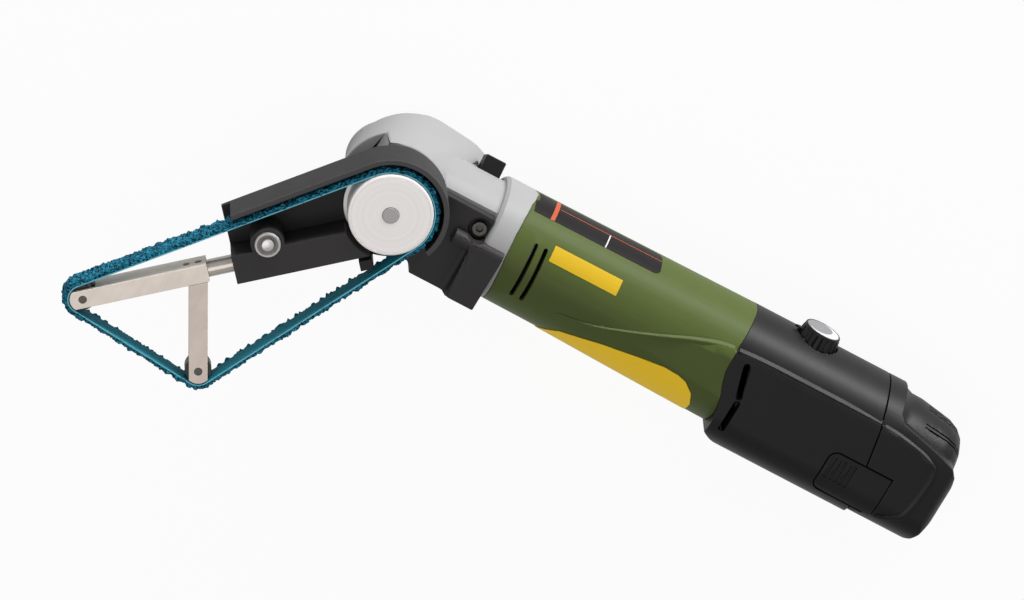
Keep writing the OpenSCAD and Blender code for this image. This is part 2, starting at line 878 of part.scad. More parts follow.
board_t = 1.6;
board_gap = 0.5;
board_x = handle_screw_x + boss_r + board_gap;
board_len = 26;
board_half = handle_r0 - wall - board_gap / 5;
chip_w = 9;
chip_h = 4;
chip_gap = 2;
chip_n = 2;
module controller_board() {
    color("DarkGreen") {
        translate([board_x, -board_half, axis_h - board_t / 2]) cube([board_len, 2 * board_half, board_t]);
        for (i = [0 : chip_n - 1]) {
            translate([board_x + i * (chip_w + chip_gap) + board_gap, -chip_w / 2, axis_h + board_t / 2])
                cube([chip_w, chip_w, chip_h]);
        }
    }
}

module dial_potentiometer() {
    color("SteelBlue") difference() {
        translate([dial_x - pot_w / 2, pot_low, axis_h - pot_w / 2])
            cube([pot_w, dial_floor - dial_boss_t - pot_low, pot_w]);
        yrod(stem_r + free_gap, dial_x, pot_low + pot_gap, reach);
    }
}

block_t = 3.5;
blade_t = 1;
blade_w = 5;
blade_gap = 0.8;
blade_pitch = 9;
blade_y = -4;
contact_inset = 4;
contact_x = sleeve_front + contact_inset;
pot_w = 2 * (dial_x - contact_x - block_t - pot_gap);
module contact_block() {
    color("SaddleBrown") {
        difference() {
            rear_prism(wall, contact_x, contact_x + block_t);
            yrod(dial_boss_r + free_gap, dial_x, dial_floor - dial_boss_t - free_gap, reach);
        }
        for (i = [-1 : 1]) {
            translate([contact_x + block_t, blade_y - blade_w / 2 + i * blade_pitch, axis_h - blade_t / 2])
                cube([battery_start - contact_x - block_t + cells_front - blade_gap, blade_w, blade_t]);
        }
    }
}

// guard, lip and rod block
lip_in = belt_off + belt_t + lip_gap;
lip_out = lip_in + lip_t;
guard_r = pulley_r + lip_out;
block_low_share = 0.6;
block_low = bar_drop + block_h * block_low_share;
block_inner = 10;
pulley_room = 0.8;
lug_w = 5;
lug_h = 4;
lug_along = 13.2;
lug_drop = 18.5;
lug_low = 2;
module lip_clip() {
    polygon([[-lip_along, 0], [-lip_along, reach], [reach, reach], [reach, -reach * tan(lip_end)],
        [0, 0]]);
}

module belt_guard() {
    color("DimGray") bent() {
        difference() {
            union() {
                translate([0, 0, plate_z]) linear_extrude(height = plate_t) {
                    circle(r = guard_r);
                    intersection() {
                        loop_area(lip_out);
                        translate([-block_along, -block_low]) square([block_along, reach]);
                    }
                }
                zrod(hub_r, plate_z - hub_depth, plate_top);
                translate([0, 0, plate_z]) linear_extrude(height = lip_top - plate_z) intersection() {
                    difference() {
                        loop_area(lip_out);
                        loop_area(lip_in);
                    }
                    lip_clip();
                }
                translate([-lug_along - lug_w / 2, -lug_drop - lug_h / 2, plate_z])
                    cube([lug_w, lug_h, belt_top - lug_low - plate_z]);
            }
            zrod(snout_r + run_fit, plate_z - hub_depth - over, plate_top + over);
            for (x = block_screws_x) {
                translate([-x, -bar_drop, 0]) zrod(block_screw_r, plate_z - over, plate_top + over);
            }
        }
    }
}

block_screw_r = 1.2;
block_screw_len = 5.5;
block_screw_inset = 5.3;
block_screws_x = [block_along - block_screw_inset, rod_end - block_screw_inset];
latch_along = block_along - latch_inset;
latch_rise_share = 0.15;
latch_y = block_h - block_low + block_h * latch_rise_share;
latch_boss = 1.4;
latch_sink = 1.8;
latch_proud = 1;
latch_travel = 2;
latch_pin_len = 7;
spring_room = 2 * arm_travel;
bore_end = rod_end - spring_room;
module rod_block() {
    color("DimGray") bent() difference() {
        translate([0, 0, plate_top]) linear_extrude(height = block_top - plate_top) difference() {
            union() {
                translate([-block_along, -block_low]) square([block_along - block_inner, block_h]);
                translate([-latch_along, latch_y]) circle(r = latch_r + latch_boss);
            }
            circle(r = pulley_r + flange_step + pulley_room);
        }
        arm_rod(rod_r + run_fit, bore_end, block_along + over);
        translate([-latch_along, latch_y, 0]) {
            zrod(latch_r, block_top - latch_sink, block_top + over);
            zrod(latch_pin_r + run_fit, block_top - latch_pin_len - latch_travel, block_top);
        }
        for (x = block_screws_x) {
            translate([-x, -bar_drop, 0]) zrod(block_screw_r, plate_z, plate_z + block_screw_len);
        }
    }
}

module block_screws() {
    color("Gray") bent() for (x = block_screws_x) {
        translate([-x, -bar_drop, 0]) zrod(block_screw_r, plate_z, plate_z + block_screw_len);
    }
}

module latch_ring() {
    color("Silver") bent() translate([-latch_along, latch_y, 0])
        tube(latch_r, latch_pin_r + run_fit, block_top - latch_sink, block_top + latch_proud);
}

module latch_pin() {
    color("WhiteSmoke") bent() translate([-latch_along, latch_y, 0])
        zrod(latch_pin_r, block_top - latch_pin_len, block_top + latch_proud + latch_travel / 4);
}

// spring behind the tension rod, one unbroken coil
coil_r = 2.3;
wire_r = 0.4;
coil_turns = 6;
coil_rings = 8;
coil_sides = 6;
coil_len = spring_room - 2 * wire_r - ring_gap;
coil_n = coil_turns * coil_rings;
function coil_at(i) = let (a = 360 * i / coil_rings)
    [-rod_end + wire_r + ring_gap / 2 + coil_len * i / coil_n,
    -bar_drop + coil_r * cos(a), rod_z + coil_r * sin(a)];
function coil_ring(i) = let (a = 360 * i / coil_rings, c = coil_at(i))
    [for (k = [0 : coil_sides - 1]) let (b = 360 * k / coil_sides)
    c + wire_r * [sin(b), cos(b) * cos(a), cos(b) * sin(a)]];
coil_points = [for (i = [0 : coil_n]) each coil_ring(i)];
coil_faces = concat(
    [for (k = [1 : coil_sides - 2]) [0, k, k + 1]],
    [for (i = [0 : coil_n - 1], k = [0 : coil_sides - 1]) each [
        [i * coil_sides + k, (i + 1) * coil_sides + (k + 1) % coil_sides,
            i * coil_sides + (k + 1) % coil_sides],
        [i * coil_sides + k, (i + 1) * coil_sides + k,
            (i + 1) * coil_sides + (k + 1) % coil_sides]]],
    [for (k = [1 : coil_sides - 2]) [coil_n * coil_sides, coil_n * coil_sides + k + 1,
        coil_n * coil_sides + k]]);
coil_gap = min([for (i = [0 : coil_n - coil_rings]) norm(coil_at(i + coil_rings) - coil_at(i))]) - 2 * wire_r;
echo(tension_spring_gap = coil_gap);
module tension_spring() {
    color("Silver") bent() polyhedron(points = coil_points, faces = coil_faces);
}

module abrasive_belt() {
    color("DodgerBlue") bent() translate([0, 0, belt_z]) linear_extrude(height = belt_w) difference() {
        polygon(loop_points(belt_off + belt_t));
        polygon(loop_points(belt_off));
    }
}

// arm with its two rollers
shank_r = 2.3;
shank_len = 11;
set_r = 1.3;
set_inset = 2.8;
set_pitch = 4.6;
set_sink = 0.4;
set_x = [bar_start + set_inset, bar_start + set_inset + set_pitch];
fork_room = 1.6;
strut_top = 74.6;
strut_dir = atan2(-bar_drop - strut_c[1], -strut_top - strut_c[0]);
strut_len = norm([strut_c[0] + strut_top, strut_c[1] + bar_drop]);
slot_w = roller_w + 2 * free_gap;

module tension_rod() {
    color("Silver") bent() {
        arm_rod(rod_r, rod_end, bar_start);
        arm_rod(shank_r, bar_start - over, bar_start + shank_len);
    }
}

// flat bar that ends in a fork about a roller axle, drawn with the axle at its origin
module fork_prism(length, width) {
    linear_extrude(height = belt_w) intersection() {
        translate([-fork_r, -width / 2]) square([length + fork_r, width]);
        union() {
            circle(r = fork_r);
            translate([0, -width / 2]) square([length, width]);
        }
    }
}

module bar_prism() {
    translate([tip_c[0], tip_c[1], belt_z]) fork_prism(tip_along - bar_start, bar_h);
}

module roller_slot(c) {
    translate([c[0], c[1], rod_z - slot_w / 2]) cylinder(h = slot_w, r = roller_r + fork_room);
}

module arm_bar() {
    color("Gainsboro") bent() difference() {
        bar_prism();
        roller_slot(tip_c);
        translate([tip_c[0], tip_c[1], 0]) zrod(axle_r, belt_z - over, belt_top + over);
        arm_rod(shank_r, bar_start - over, bar_start + shank_len);
        for (x = set_x) {
            translate([-x, -bar_drop, rod_z]) rotate([-90, 0, 0])
                cylinder(h = bar_h, r = set_r, $fn = small_fn);
        }
    }
}

module set_screws() {
    color("DimGray") bent() for (x = set_x) {
        translate([-x, -bar_drop + shank_r, rod_z]) rotate([-90, 0, 0])
            cylinder(h = bar_h / 2 - shank_r - set_sink, r = set_r, $fn = small_fn);
    }
}

module arm_strut() {
    color("Gainsboro") bent() difference() {
        translate([strut_c[0], strut_c[1], belt_z]) rotate([0, 0, strut_dir])
            fork_prism(strut_len, strut_w);
        bar_prism();
        roller_slot(strut_c);
        translate([strut_c[0], strut_c[1], 0]) zrod(axle_r, belt_z - over, belt_top + over);
    }
}

module tip_axle() {
    color("Gray") bent() translate([tip_c[0], tip_c[1], 0]) zrod(axle_r, belt_z, belt_top);
}

module strut_axle() {
    color("Gray") bent() translate([strut_c[0], strut_c[1], 0]) zrod(axle_r, belt_z, belt_top);
}

module tip_roller() {
    color("Silver") bent() translate([tip_c[0], tip_c[1], 0])
        tube(roller_r, axle_r + run_fit, rod_z - roller_w / 2, rod_z + roller_w / 2);
}

module strut_roller() {
    color("Silver") bent() translate([strut_c[0], strut_c[1], 0])
        tube(roller_r, axle_r + run_fit, rod_z - roller_w / 2, rod_z + roller_w / 2);
}

// drive
spindle_proud = 0.2;
groove_share = 0.85;
groove_w = 0.6;
module drive_spindle() {
    color("Gray") zrod(spindle_r, bearing_z, pulley_top + spindle_proud);
}

module drive_pulley() {
    color("Gainsboro") difference() {
        union() {
            zrod(pulley_r + flange_step, pulley_z, pulley_z + flange_t);
            zrod(pulley_r, pulley_z, pulley_top - pulley_edge);
            translate([0, 0, pulley_top - pulley_edge])
                cylinder(h = pulley_edge, r1 = pulley_r, r2 = pulley_r - pulley_edge);
        }
        zrod(spindle_r, pulley_z - over, pulley_top + over);
        tube(pulley_r * groove_share + groove_w, pulley_r * groove_share, pulley_top - groove_w,
            pulley_top + over);
    }
}

tooth_depth = 2 * tooth_add + tooth_clear;
module crown_gear() {
    color("Goldenrod") difference() {
        union() {
            zrod(crown_r + gear_face / 2, crown_top - crown_t, crown_top - tooth_depth);
            zrod(crown_hub_r, crown_top - crown_t, crown_top);
            for (i = [0 : crown_teeth - 1]) {
                rotate([0, 0, 360 * i / crown_teeth])
                    translate([crown_r - gear_face / 2, -tooth_t / 2, crown_top - tooth_depth - over])
                    cube([gear_face, tooth_t, tooth_depth + over]);
            }
        }
        zrod(spindle_r, crown_top - crown_t - over, crown_top + over);
    }
}

pinion_x = crown_r - gear_face / 2;
module bevel_pinion() {
    color("Goldenrod") difference() {
        union() {
            xrod(pinion_r - tooth_add - tooth_clear, pinion_x, pinion_x + gear_face);
            translate([pinion_x, 0, axis_h]) rotate([0, 90, 0]) for (i = [0 : pinion_teeth - 1]) {
                rotate([0, 0, 360 * (i + 1 / 2) / pinion_teeth])
                    translate([shaft_r + over, -tooth_t / 2, 0])
                    cube([pinion_r + tooth_add - shaft_r - over, tooth_t, gear_face]);
            }
        }
        xrod(shaft_r, pinion_x - over, pinion_x + gear_face + over);
    }
}

module motor_shaft() {
    color("Gray") xrod(shaft_r, pinion_x, motor_end + shaft_tail);
}

fan_disc_t = 1;
fan_hub_r = 5;
fan_blade_t = 1.2;
fan_blades = 9;
module cooling_fan() {
    color("Black") difference() {
        union() {
            xrod(fan_r, fan_x, fan_x + fan_disc_t);
            xrod(fan_hub_r, fan_x, fan_x + fan_w);
            translate([fan_x, 0, axis_h]) rotate([0, 90, 0]) for (i = [0 : fan_blades - 1]) {
                rotate([0, 0, 360 * i / fan_blades]) translate([shaft_r + over, -fan_blade_t / 2, 0])
                    cube([fan_r - shaft_r - fan_blade_t, fan_blade_t, fan_w]);
            }
        }
        xrod(shaft_r, fan_x - over, fan_x + fan_w + over);
    }
}

rotor_inset = 7;
module motor_rotor() {
    color("IndianRed") xring(rotor_r, shaft_r, motor_x + rotor_inset, motor_end - rotor_inset);
}

// speed dial
dial_groove_r = 0.7;
dial_rim = 1.6;
disc_t = 0.8;
module dial_knob() {
    color("Black") difference() {
        union() {
            yrod(dial_r, dial_x, dial_base, dial_top);
            yrod(stem_r, dial_x, pot_low + 2 * pot_gap, dial_base + over);
        }
        translate([dial_x, dial_base - over, axis_h]) rotate([-90, 0, 0])
            for (i = [0 : dial_grooves - 1]) {
                rotate([0, 0, 360 * i / dial_grooves]) translate([dial_r, 0, 0])
                    cylinder(h = dial_h - dial_rim + over, r = dial_groove_r, $fn = small_fn);
            }
        yrod(disc_r, dial_x, dial_top - disc_t, dial_top + over);
    }
}

module dial_disc() {
    color("LightGray") yrod(disc_r, dial_x, dial_top - disc_t, dial_top);
}

lock_pin_gap = 0.5;
module lock_button() {
    color("Black") leaning() {
        translate([lock_x - lock_len / 2, lock_low, axis_h - lock_w / 2])
            cube([lock_len, lock_top - lock_low, lock_w]);
        yrod(lock_pin_r, lock_x, shaft_r + lock_pin_gap + lock_travel, lock_low + over);
    }
}

clamp_hex_r = 1.45;
clamp_hex_depth = 1.6;
clamp_head_t = 2.7;
module clamp_screw() {
    color("DimGray") translate([clamp_x, clamp_y, 0]) difference() {
        union() {
            zrod(clamp_head_r, clamp_floor + ring_gap, clamp_floor + ring_gap + clamp_head_t);
            zrod(clamp_shank_r, clamp_low, clamp_floor + ring_gap + over);
        }
        translate([0, 0, clamp_floor + ring_gap + clamp_head_t - clamp_hex_depth])
            cylinder(h = clamp_hex_depth + over, r = clamp_hex_r, $fn = 6);
    }
}

// battery: edge of its sides, as shares of its length behind the seam and of its height
ridge_x_shares = [-1, 0.112, 0.112, 0.121, 0.196, 0.452, 0.755, 0.873, 0.951, 1, 1, 0.99, 0.9, 0.79, -1];
ridge_y_shares = [1.3, 1.3, 0.87, 0.736, 0.636, 0.558, 0.45, 0.385, 0.242, 0, -0.1, -0.52, -0.86, -1.01,
    -1.01];
// edge of the raised panels
panel_x_shares = [-1, 0.02, 0.34, 0.594, 0.697, 0.749, 0.7435, 0.706, 0.66, 0.516, 0.3285, 0.13, -1];
panel_y_shares = [0.49, 0.485, 0.45, 0.364, 0.29, 0.1255, -0.167, -0.564, -0.656, -0.723, -0.794, -0.87,
    -1.01];
// radius of the lower top, as shares of the radius of the rear shells
shoulder_x_shares = [-1, 0.098, 0.147, 0.225, 0.36, 0.484, 0.597, 0.729, 0.836, 0.911, 0.957, 0.99];
shoulder_r_shares = [1, 1, 0.926, 0.879, 0.874, 0.844, 0.818, 0.784, 0.714, 0.606, 0.463, 0.2];
end_round = 8;
groove_angles = [2, 7.5, 33, 37.5];
groove_t = 0.6;
groove_start_share = 0.43;
groove_start = seam_x + (battery_end - seam_x) * groove_start_share;
cells_front = 6;
lid_t = 2.5;
insert_gap = wall + free_gap;
cell_mid_y = 2.8;
cell_low_y = rear_corner - rear_drop;
cells_at = [[0, cell_mid_y], [rear_corner - rear_half, cell_low_y], [rear_half - rear_corner, cell_low_y]];
cell_play = 0.1;
terminal_t = 1.4;

module side_outline(x_shares, y_shares) {
    polygon([for (i = [0 : len(x_shares) - 1]) [seam_x + (battery_end - seam_x) * x_shares[i],
        (y_shares[i] > 0 ? rear_r : rear_drop) * y_shares[i]]]);
}

// section of the battery round its raised panels
module level_section() {
    rear_section(panel_drop, 0);
    intersection() {
        circle(r = rear_r);
        translate([-(rear_half - panel_drop), 0]) square([2 * (rear_half - panel_drop), rear_r]);
    }
}

// lower top behind the flange, turned about the handle axis
module shoulder(sink) {
    x_end = battery_end - sink;
    translate([0, 0, axis_h]) rotate([0, 90, 0]) rotate_extrude() polygon(concat(
        [for (i = [0 : len(shoulder_x_shares) - 1])
        [max(rear_r * shoulder_r_shares[i] - sink, 0),
        seam_x + (x_end - seam_x) * shoulder_x_shares[i]]],
        [[0, x_end], [0, seam_x + (x_end - seam_x) * shoulder_x_shares[0]]]));
}

// thin grooves along the lower top, on both sides of its middle
module shoulder_grooves() {
    difference() {
        for (a = groove_angles, side = [-1, 1]) {
            translate([groove_start, 0, axis_h]) rotate([side * a, 0, 0]) translate([0, 0, -groove_t / 2])
                cube([reach, reach, groove_t]);
        }
        shoulder(groove_t);
    }
}

// the battery end from above, with its round corners
module end_plan() {
    translate([seam_x - reach, 0]) square([battery_end - end_round - seam_x + reach, 2 * axis_h]);
    translate([seam_x - reach, end_round]) square([battery_end - seam_x + reach, 2 * (axis_h - end_round)]);
    for (z = [end_round, 2 * axis_h - end_round]) {
        translate([battery_end - end_round, z]) circle(r = end_round);
    }
}

module insert_trim(low) {
    translate([0, insert_top - low - reach, axis_h - reach]) cube([4 * reach, reach, 2 * reach]);
}

module battery_case() {
    color("Black") difference() {
        union() {
            intersection() {
                union() {
                    intersection() {
                        along_handle(seam_x - reach, battery_end + over) level_section();
                        through() side_outline(ridge_x_shares, ridge_y_shares);
                    }
                    intersection() {
                        rear_prism(0, seam_x - reach, battery_end);
                        through() side_outline(panel_x_shares, panel_y_shares);
                    }
                    difference() {
                        shoulder(0);
                        shoulder_grooves();
                    }
                }
                through() behind_seam(free_gap);
                translate([0, reach, 0]) rotate([90, 0, 0]) linear_extrude(height = 2 * reach) end_plan();
            }
            intersection() {
                rear_prism(insert_gap, battery_start + lid_t, seam_x + end_round);
                insert_trim(0);
            }
        }
        intersection() {
            rear_prism(insert_gap + case_wall, battery_start - over, battery_start + cells_front);
            insert_trim(case_wall);
        }
        for (p = cells_at) {
            translate([battery_start, p[1], axis_h + p[0]]) rotate([0, 90, 0])
                cylinder(h = cells_front + cell_len + cell_play, r = cell_r + cell_play);
        }
        latch_pocket();
        mirror_far() latch_pocket();
    }
}

latch_pad_in = latch_pad_sink + latch_pad_t;

// the same shape on the far side
module mirror_far() {
    translate([0, 0, axis_h]) mirror([0, 0, 1]) translate([0, 0, -axis_h]) children();
}

// room in the battery for the near pad and its travel
module latch_pocket() {
    difference() {
        translate([0, 0, axis_h]) linear_extrude(height = reach)
            latch_pad_outline(free_gap, latch_tail_gap);
        translate([0, 0, -latch_pad_travel]) rear_prism(latch_pad_in + free_gap, battery_start, battery_end);
    }
}

blade_room = 0.6;
module battery_lid() {
    color("DimGray") difference() {
        intersection() {
            rear_prism(insert_gap, battery_start, battery_start + lid_t);
            insert_trim(0);
        }
        for (i = [-1 : 1]) {
            translate([battery_start - over, blade_y - blade_w / 2 + i * blade_pitch - blade_room,
                axis_h - blade_t / 2 - blade_room])
                cube([lid_t + 2 * over, blade_w + 2 * blade_room, blade_t + 2 * blade_room]);
        }
    }
}

module battery_cells() {
    color("MediumSeaGreen") for (p = cells_at) {
        translate([battery_start + cells_front, p[1], axis_h + p[0]]) rotate([0, 90, 0])
            cylinder(h = cell_len, r = cell_r);
    }
}

module battery_terminals() {
    color("Goldenrod") for (i = [-1 : 1], side = [-1, 1]) {
        translate([battery_start + lid_t, blade_y - blade_w / 2 + i * blade_pitch,
            axis_h + side * (blade_t / 2 + blade_room + terminal_t / 2) - terminal_t / 2])
            cube([cells_front - lid_t, blade_w, terminal_t]);
    }
}

latch_rib_n = 5;
latch_rib_w = 1;
latch_rib_h = 0.6;
latch_rib_pitch = 2.1;
latch_rib_inset = 2;
latch_rib_len = 9;
module latch_pad() {
    difference() {
        intersection() {
            rear_prism(latch_pad_sink, battery_start, battery_end);
            translate([0, 0, axis_h]) linear_extrude(height = reach) latch_pad_outline(0, 0);
        }
        rear_prism(latch_pad_in, battery_start - over, battery_end + over);
        for (i = [0 : latch_rib_n - 1]) {
            translate([latch_pad_x + latch_rib_inset + i * latch_rib_pitch,
                latch_pad_y - latch_rib_inset - latch_rib_len, 2 * axis_h - latch_pad_sink - latch_rib_h])
                cube([latch_rib_w, latch_rib_len, reach]);
        }
    }
}

module battery_latch_near() {
    color("Black") latch_pad();
}

module battery_latch_far() {
    color("Black") mirror_far() latch_pad();
}

gear_housing();
gear_cap();
head_carrier();
retaining_ring();
near_bearing();
far_bearing();
motor_bearing();
handle_shell_near();
handle_shell_far();
handle_screws();
grip_pad();
rear_shell_near();
rear_shell_far();
rear_screws();
motor_can();
controller_board();
dial_potentiometer();
contact_block();
belt_guard();
rod_block();
block_screws();
latch_ring();
tension_spring();
abrasive_belt();
tension_rod();
arm_bar();
arm_strut();
set_screws();
tip_axle();
strut_axle();
tip_roller();
strut_roller();
drive_spindle();
drive_pulley();
crown_gear();
motor_shaft();
bevel_pinion();
cooling_fan();
motor_rotor();
dial_knob();
dial_disc();
lock_button();
latch_pin();
clamp_screw();
battery_case();
battery_lid();
battery_cells();
battery_terminals();
battery_latch_near();
battery_latch_far();
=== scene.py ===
"""Looks of a cordless pipe belt sander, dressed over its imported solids."""

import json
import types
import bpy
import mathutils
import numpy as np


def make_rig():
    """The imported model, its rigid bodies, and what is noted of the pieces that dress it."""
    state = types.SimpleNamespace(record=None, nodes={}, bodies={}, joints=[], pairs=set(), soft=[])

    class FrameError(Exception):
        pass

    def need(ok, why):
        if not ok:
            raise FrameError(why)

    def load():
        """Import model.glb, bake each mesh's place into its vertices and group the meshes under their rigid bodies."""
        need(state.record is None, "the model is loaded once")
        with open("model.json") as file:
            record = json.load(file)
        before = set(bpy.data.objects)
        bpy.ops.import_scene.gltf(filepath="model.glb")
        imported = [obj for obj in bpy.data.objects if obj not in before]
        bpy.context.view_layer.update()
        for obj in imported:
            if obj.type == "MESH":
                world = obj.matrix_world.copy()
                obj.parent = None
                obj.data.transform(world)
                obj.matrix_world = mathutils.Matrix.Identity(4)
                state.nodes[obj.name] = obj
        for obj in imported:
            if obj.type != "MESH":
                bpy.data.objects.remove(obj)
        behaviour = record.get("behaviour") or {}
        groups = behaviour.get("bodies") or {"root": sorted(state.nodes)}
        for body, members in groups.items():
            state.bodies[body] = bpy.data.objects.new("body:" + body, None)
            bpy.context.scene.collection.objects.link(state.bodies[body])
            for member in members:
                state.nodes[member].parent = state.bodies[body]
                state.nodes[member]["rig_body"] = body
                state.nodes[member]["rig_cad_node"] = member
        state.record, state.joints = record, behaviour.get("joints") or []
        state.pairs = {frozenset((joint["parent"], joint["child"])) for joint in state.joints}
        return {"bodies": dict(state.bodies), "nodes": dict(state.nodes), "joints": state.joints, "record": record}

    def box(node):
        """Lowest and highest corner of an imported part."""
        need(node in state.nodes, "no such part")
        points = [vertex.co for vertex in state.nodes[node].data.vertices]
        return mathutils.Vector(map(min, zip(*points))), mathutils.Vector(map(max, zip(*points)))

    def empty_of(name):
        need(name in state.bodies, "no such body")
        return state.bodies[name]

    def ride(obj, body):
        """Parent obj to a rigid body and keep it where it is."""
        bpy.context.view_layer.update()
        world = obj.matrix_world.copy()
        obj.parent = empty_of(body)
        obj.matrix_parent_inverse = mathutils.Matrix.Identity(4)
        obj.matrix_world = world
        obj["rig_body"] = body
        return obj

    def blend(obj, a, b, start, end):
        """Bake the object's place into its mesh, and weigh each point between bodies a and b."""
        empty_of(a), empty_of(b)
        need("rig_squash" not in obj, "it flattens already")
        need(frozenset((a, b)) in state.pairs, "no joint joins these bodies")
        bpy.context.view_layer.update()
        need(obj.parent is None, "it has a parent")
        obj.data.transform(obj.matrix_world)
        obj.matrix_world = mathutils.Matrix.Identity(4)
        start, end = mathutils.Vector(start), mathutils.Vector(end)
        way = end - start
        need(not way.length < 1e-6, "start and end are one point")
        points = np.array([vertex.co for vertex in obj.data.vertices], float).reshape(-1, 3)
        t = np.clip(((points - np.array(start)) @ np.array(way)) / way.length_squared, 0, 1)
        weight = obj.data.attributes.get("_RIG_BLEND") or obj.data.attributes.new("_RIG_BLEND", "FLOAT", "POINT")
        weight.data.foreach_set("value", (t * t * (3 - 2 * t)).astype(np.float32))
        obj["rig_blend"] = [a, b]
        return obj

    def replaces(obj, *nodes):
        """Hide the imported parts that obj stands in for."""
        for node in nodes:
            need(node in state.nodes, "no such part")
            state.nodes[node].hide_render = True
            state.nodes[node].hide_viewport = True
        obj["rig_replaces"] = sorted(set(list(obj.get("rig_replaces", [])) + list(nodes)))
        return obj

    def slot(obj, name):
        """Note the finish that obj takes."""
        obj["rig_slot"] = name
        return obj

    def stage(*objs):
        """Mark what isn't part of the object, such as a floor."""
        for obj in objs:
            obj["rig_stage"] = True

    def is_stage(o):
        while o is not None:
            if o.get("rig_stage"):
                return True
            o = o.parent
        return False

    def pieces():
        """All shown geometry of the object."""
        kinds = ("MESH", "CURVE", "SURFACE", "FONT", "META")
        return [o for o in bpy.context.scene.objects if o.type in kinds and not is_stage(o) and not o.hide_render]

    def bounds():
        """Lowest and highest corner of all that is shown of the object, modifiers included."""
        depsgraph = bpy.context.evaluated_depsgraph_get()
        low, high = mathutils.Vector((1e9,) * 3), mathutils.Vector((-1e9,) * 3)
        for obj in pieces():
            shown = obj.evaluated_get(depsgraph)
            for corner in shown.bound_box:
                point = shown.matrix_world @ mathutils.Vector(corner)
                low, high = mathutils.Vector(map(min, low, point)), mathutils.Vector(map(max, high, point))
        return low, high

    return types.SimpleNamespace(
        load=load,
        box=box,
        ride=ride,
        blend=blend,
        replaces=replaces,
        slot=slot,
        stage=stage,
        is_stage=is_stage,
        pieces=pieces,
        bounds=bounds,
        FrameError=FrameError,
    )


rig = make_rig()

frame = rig.load()

import json
import math

import bmesh
import bpy
from bpy.props import FloatProperty, FloatVectorProperty, IntProperty, PointerProperty
from mathutils import Matrix, Vector, noise
from mathutils.bvhtree import BVHTree

bl_info = {
    "name": "Pipe Belt Sander",
    "version": (1, 0, 0),
    "blender": (4, 5, 0),
    "location": "View3D > Sidebar > Pipe Sander",
    "description": "Dresses the solids of a cordless pipe belt sander",
    "category": "Object",
}

CAD_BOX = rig.bounds()
MM = 0.001
COPY_WELD = 0.002 * MM
WELD = 0.001 * MM
UP = Vector((0, 0, 1))
DIAL_DOWN = Vector((0, -1, 0))


def centre(node):
    """Middle of a solid's box."""
    low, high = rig.box(node)
    return (low + high) / 2


SPINDLE = centre("drive_spindle")
AXIS_Z = centre("motor_shaft").z
TIP = centre("tip_roller")
STRUT = centre("strut_roller")
BELT_LOW, BELT_HIGH = (corner.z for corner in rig.box("abrasive_belt"))
HANDLE_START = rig.box("handle_shell_near")[0].x
ARM = -Vector(next(j for j in frame["joints"] if j["name"] == "arm_slide")["axis"]).normalized()


class ViewSizes(bpy.types.PropertyGroup):
    """The camera."""

    image_width: IntProperty(name="Image width", description="Width of the picture in pixels", default=1024)
    image_height: IntProperty(name="Image height", description="Height of the picture in pixels", default=600)
    pixels_per_mm: FloatProperty(
        name="Scale", description="Pixels for a millimetre at the handle", default=2.69)
    spindle_pixel: FloatVectorProperty(
        name="Spindle pixel", size=2, default=(388.35, 180.57),
        description="Place of the spindle axis, at the height of the handle axis, in pixels")
    right: FloatVectorProperty(
        name="Right", description="Direction that runs to the right in the picture", size=3,
        subtype="DIRECTION", default=(0.867, 0.497, 0.0325))
    back: FloatVectorProperty(
        name="Back", description="Direction from the tool to the camera", size=3,
        subtype="DIRECTION", default=(-0.2078, 0.3017, 0.9305))
    distance: FloatProperty(
        name="Distance", description="Distance of the camera", default=10.0, unit="LENGTH")


class PrintSizes(bpy.types.PropertyGroup):
    """Bare label and badge on the handle."""

    label_end: FloatProperty(
        name="Label end", description="Rear end of the label", default=104.6 * MM, unit="LENGTH")
    label_low: FloatProperty(
        name="Label low", description="Lower edge of the label, from the near side to the top",
        default=math.radians(60.5), subtype="ANGLE")
    label_high: FloatProperty(
        name="Label high", description="Far edge of the label", default=math.radians(97), subtype="ANGLE")
    label_round: FloatProperty(
        name="Label corner", description="Radius of the label's rear corners", default=2.6 * MM,
        unit="LENGTH")
    stripe_start: FloatProperty(
        name="Stripe start", description="Front edge of the cross stripe", default=58.0 * MM, unit="LENGTH")
    stripe_width: FloatProperty(
        name="Stripe width", description="Width of the cross stripe", default=1.7 * MM, unit="LENGTH")
    line_turn: FloatProperty(
        name="Line", description="Place of the thin line along the label", default=math.radians(80.5),
        subtype="ANGLE")
    divider_start: FloatProperty(
        name="Divider", description="Front edge of the label's pale divider", default=81.2 * MM,
        unit="LENGTH")
    badge_start: FloatProperty(
        name="Badge start", description="Front end of the badge", default=63.5 * MM, unit="LENGTH")
    badge_end: FloatProperty(
        name="Badge end", description="Rear end of the badge", default=92.2 * MM, unit="LENGTH")
    badge_low: FloatProperty(
        name="Badge low", description="Lower edge of the badge", default=math.radians(20.7), subtype="ANGLE")
    badge_high: FloatProperty(
        name="Badge high", description="Upper edge of the badge", default=math.radians(37.2), subtype="ANGLE")
    film: FloatProperty(
        name="Film", description="Thickness of label and badge", default=0.12 * MM, unit="LENGTH")


